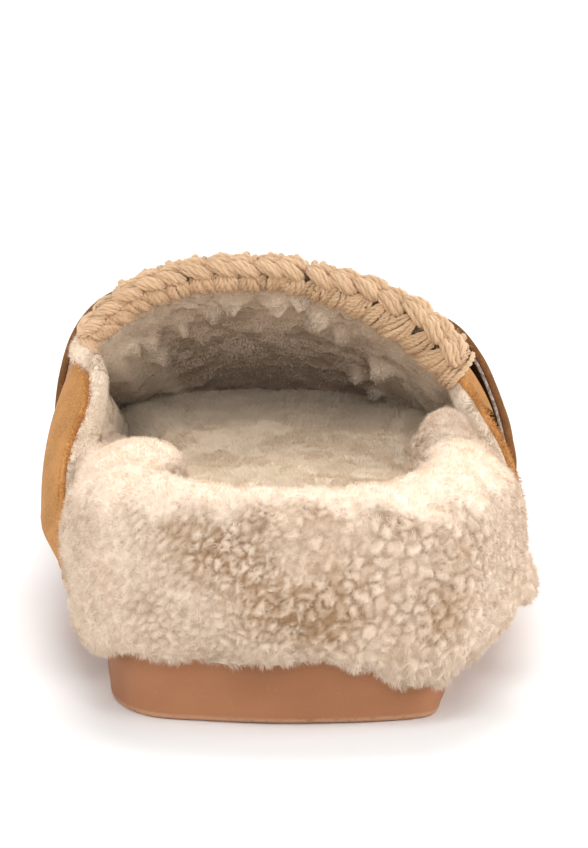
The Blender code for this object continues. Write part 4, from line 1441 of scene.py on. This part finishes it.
def make_lining():
    """The upper's fleece lining: a pad inside the wall, with pile and loose tufts by the collar."""
    rng = np.random.default_rng(71)
    around = np.linspace(*LINING_ENDS, LINING_COLUMNS)
    share = 1 - np.linspace(0, 1, LINING_ROWS) ** 1.6
    edge = rear_edge(around) + 0.4
    y = LINING_FRONT - (LINING_FRONT - edge) * share[:, None]
    turns = np.broadcast_to(around, y.shape)
    pad = lining_pad(y, turns)
    inner = off_upper(y, turns, -SUEDE - LINING_CLEAR - pad)
    ceiling = ease((46 - np.abs(turns - 90)) / 12)
    relief = -fleece_relief(inner, 72, 0.18 + 0.22 * ceiling, 0.04 + 0.16 * ceiling)
    relief = relief * ease(pad / 3)
    for lock_turn, lock_y, size in LINING_LOCKS:
        away = np.linalg.norm(inner - lock_place(lock_turn, lock_y), axis=-1) / (LOCK_RADIUS * size)
        relief = relief + LOCK_HEIGHT * size * np.exp(-2 * away**2)
    inner -= upper_normal(y, turns) * relief[..., None]
    outer = off_upper(y, turns, -SUEDE - 0.1 - strap_dent(y, turns))
    inside = grid_faces(LINING_ROWS, LINING_COLUMNS)
    far = LINING_ROWS * LINING_COLUMNS
    faces = np.vstack([inside, inside[:, ::-1] + far, border_faces(LINING_ROWS, LINING_COLUMNS)])
    both = np.vstack([inner.reshape(-1, 3), outer.reshape(-1, 3)])
    base = add_piece("lining_base", both, faces, [MATERIALS["lining"]])
    # Painted shade: the wool is darker on the ceiling under the instep, darker still farther inside, and
    # darker in the relief's hollows than on its bumps.
    deep = ease((y + 12.0) / 40.0)
    tone = 0.9 - 0.36 * ceiling - 0.42 * ceiling * deep + (0.04 + 0.18 * ceiling) * relief
    set_tone(base, np.concatenate([tone.ravel(), np.full(far, 0.5)]))
    belongs(base, "upper")

    face = add_piece("lining_face", inner, inside, [])
    cover = tree_of("fleece_wrap", "insole")

    def looks(centre, normal):
        count = len(centre)
        hanging = ease(-normal[:, 2] / 0.6)
        lean = swirls(centre, 12.0, 74) + rng.normal(0, 0.6, (count, 3)) + np.array([0.4, -0.7, -0.3])
        return {
            "lean": unit(tangent(lean, normal)),
            "length": 1.4 + 1.7 * hanging + rng.normal(0, 0.15, count),
            "rise": 46 + 10 * hanging + rng.normal(0, 8, count),
            "fall": 32 - 12 * hanging + rng.normal(0, 8, count),
            "gather": np.clip(0.2 + 0.3 * hanging + rng.normal(0, 0.08, count), 0, 0.7),
            "width": 0.15 + 0.05 * hanging,
            # Painted shade: fibres that hang from the ceiling are darker, more so farther inside, with a
            # random spread.
            "tone": 0.95
            + hanging * (rng.normal(-0.26, 0.14, count) - 0.55 * ease((centre[:, 1] + 8.0) / 36.0)),
        }

    def keep(root, normal):
        return np.clip(1.8 * ease((75.0 - root[:, 1]) / 90.0) ** 1.5, 0, 1)

    root, normal = plant(face, LINING_FIBRES, keep, cover, 1.5, rng)
    rim = np.linspace(*LINING_ENDS, 700)
    rim = off_upper(rear_edge(rim), rim, np.full(len(rim), -SUEDE))
    inside = np.linalg.norm(root - rim[nearest(root, rim)], axis=1)
    root, normal, inside = (values[inside > 0.5] for values in (root, normal, inside))
    pile = tufted(root, normal, np.clip(2.4 + 0.5 * ripples(root, 18.0, 73), 1.6, 4.0), looks)
    pile["length"] = pile["length"] * np.clip(inside / 4.0, 0.3, 1.0)
    piece = grow("lining_pile", MATERIALS["lining"], root, normal, pile, 1, rng)
    belongs(piece, "upper")
    bpy.data.objects.remove(face)
    make_lining_locks(rng)
    make_lining_rim(rng)


ROLL_TURNS = (24.0, 41.0)  # the roll of wool over the suede's edge, around the section
ROLL_RADIUS = 2.3
EDGE_TURNS = ((-38, 36), (143, 218))  # the raw edges beside the band, around the section
LOCK_RADIUS = 2.7
LOCK_HEIGHT = 3.3
LOCK_FIBRES = 220
# Pale locks of the lining that hang out under the crochet band: around the section, along the shoe, and
# size.
LINING_LOCKS = (
    (41.5, -0.5, 1.0),
    (50.5, 4.0, 1.1),
    (50.0, 13.5, 1.2),
    (66.5, 5.0, 0.8),
    (79.0, 0.0, 1.0),
    (84.0, -3.5, 0.9),
    (94.5, -5.0, 1.1),
    (103.0, -9.0, 1.0),
    (109.0, -3.0, 1.4),
    (116.5, 3.0, 0.9),
    (123.5, 27.0, 1.2),
    (130.5, 10.5, 1.4),
    (129.5, 41.5, 1.0),
)


def lock_place(around, y):
    """The middle of a lock on the lining's inner face."""
    around, y = (np.array([float(v)]) for v in (around, y))
    return off_upper(y, around, -SUEDE - LINING_CLEAR - lining_pad(y, around))[0]


def make_lining_locks(rng):
    """The longer fibres of the lining's pale locks."""
    around, y, size = (np.array(column) for column in zip(*LINING_LOCKS))
    middle = np.array([lock_place(*place) for place in zip(around, y)])
    up = -upper_normal(y, around)
    lock = np.repeat(np.arange(len(LINING_LOCKS)), LOCK_FIBRES)
    count = len(lock)
    spread = rng.normal(0, 0.9, (count, 3)) * size[lock, None]
    away = np.linalg.norm(spread, axis=1) / (LOCK_RADIUS * size[lock])
    height = LOCK_HEIGHT * size[lock] * np.exp(-2 * away**2)
    root = middle[lock] + tangent(spread, up[lock]) + up[lock] * (height - 0.3)[:, None]
    lean = unit(rng.normal(size=(len(middle), 3)) + np.array([0.0, -0.8, -0.3]))
    pile = {
        "centre": middle[lock] + up[lock],
        "lean": unit(lean[lock] + 0.6 * unit(spread)),
        "length": (1.5 * size + rng.uniform(0, 0.5, len(middle)))[lock],
        "rise": np.full(count, 80.0),
        "fall": np.full(count, -20.0),
        "gather": np.full(count, 0.2),
        "width": np.full(count, 0.24),
        "tone": (1.25 + rng.normal(0, 0.05, len(middle)))[lock],
    }
    piece = grow("lining_locks", MATERIALS["lining"], root, up[lock], pile, 3, rng)
    belongs(piece, "upper")


def make_lining_rim(rng):
    """A roll of wool that laps over the suede's edge beside the band's medial end."""
    around = np.linspace(*ROLL_TURNS, 40)
    size = ROLL_RADIUS * ease((around - ROLL_TURNS[0] + 1.0) / 7.0)
    edge = rear_edge(around)
    middle = off_upper(edge + 0.4, around, np.full(len(around), -1.5))
    ahead = unit(np.gradient(middle, axis=0))
    side = upper_normal(edge, around)
    side = unit(tangent(side, ahead))
    over = np.cross(ahead, side)
    turn = np.linspace(0, 2 * math.pi, 20, endpoint=False)
    spokes = side[:, None] * np.cos(turn)[:, None] + over[:, None] * np.sin(turn)[:, None]
    points = middle[:, None] + spokes * size[:, None, None]
    faces = np.vstack([grid_faces(len(around), len(turn), True), lid_faces(0, len(turn))])
    faces = np.vstack([faces, lid_faces((len(around) - 1) * len(turn), len(turn))])
    roll = add_piece("lining_roll", points, faces, [MATERIALS["lining"]])
    set_tone(roll, np.full(points.shape[:2], 0.9))
    belongs(roll, "upper")
    count = RIM_FUZZ["count"]
    first = rng.integers(0, len(around), count)
    angle = rng.uniform(0, 2 * math.pi, count)
    normal = side[first] * np.cos(angle)[:, None] + over[first] * np.sin(angle)[:, None]
    along = ahead[first] * rng.uniform(-0.5, 0.5, (count, 1))
    root = middle[first] + along + normal * (size[first] - 0.1)[:, None]
    belongs(fuzz("lining_rim", MATERIALS["lining"], root, normal, RIM_FUZZ, 1, rng), "upper")


def make_edge_fuzz():
    """Short fibres on the suede's raw cut edges."""
    rng = np.random.default_rng(81)
    count = EDGE_FUZZ["count"]
    medial = rng.random(count) < 0.5
    around = np.where(medial, *(rng.uniform(*turns, count) for turns in EDGE_TURNS))
    out = rng.uniform(-SUEDE, 0.1, count)
    edge = rear_edge(around)
    root = off_upper(edge + rng.uniform(-0.1, 0.25, count), around, out)
    normal = unit(off_upper(edge - 1.0, around, out) - off_upper(edge, around, out))
    belongs(fuzz("suede_edge_fuzz", MATERIALS["raw_edge"], root, normal, EDGE_FUZZ, 2, rng), "upper")


# Lamps: where each stands in metres, its width and its power.
LAMPS = (
    {"name": "toe", "place": (0.0, 1.0, 1.6), "width": 1.2, "power": 26.5},
    {"name": "heel", "place": (0.0, -0.95, 1.65), "width": 0.8, "power": 10.0},
    {"name": "left", "place": (-1.25, -0.15, 0.4), "width": 0.8, "power": 5.5},
    {"name": "right", "place": (1.25, -0.15, 0.4), "width": 0.8, "power": 10.0},
    {"name": "back", "place": (0.0, -1.65, 0.95), "width": 0.9, "power": 9.0},
    {"name": "low", "place": (0.0, -1.8, 0.42), "width": 0.7, "power": 7.5},
)
LAMP_AIM = Vector((0.0, 0.0, 0.03))
SURROUND = 0.25
FLOOR_HALF = 8000.0


def make_stage():
    """A pale floor, a white surround and soft lamps over the toe, behind the heel and on both sides."""
    corners = np.array([(-1, -1, 0), (1, -1, 0), (1, 1, 0), (-1, 1, 0)]) * FLOOR_HALF
    paper = plain_material("floor", (0.93, 0.93, 0.93), (0.95, 0.95, 0.95), 400.0, 0.9)
    floor = add_piece("floor", corners, [(0, 1, 2, 3)], [paper])
    world = bpy.data.worlds.new("studio")
    world.use_nodes = True
    world.node_tree.nodes["Background"].inputs["Color"].default_value = (1.0, 1.0, 1.0, 1.0)
    world.node_tree.nodes["Background"].inputs["Strength"].default_value = SURROUND
    bpy.context.scene.world = world
    for row in LAMPS:
        lamp = bpy.data.lights.new(row["name"], "AREA")
        lamp.size = row["width"]
        lamp.energy = row["power"]
        holder = bpy.data.objects.new(row["name"], lamp)
        holder.location = row["place"]
        aim = LAMP_AIM - Vector(row["place"])
        holder.rotation_euler = aim.to_track_quat("-Z", "Y").to_euler()
        bpy.context.scene.collection.objects.link(holder)
    lens = bpy.data.cameras.new("camera")
    lens.lens = CAMERA_LENS
    lens.sensor_width = CAMERA_SENSOR
    camera = bpy.data.objects.new("camera", lens)
    camera.location = Vector(CAMERA_PLACE) * MM
    camera.rotation_euler = (math.radians(90 - CAMERA_DOWN), 0.0, 0.0)
    bpy.context.scene.collection.objects.link(camera)
    bpy.context.scene.camera = camera
    bpy.context.scene.view_settings.view_transform = "Standard"


make_stage()
make_sole()
make_upper()
make_strap()
make_crochet()
make_wrap()
make_insole()
make_lining()
make_edge_fuzz()
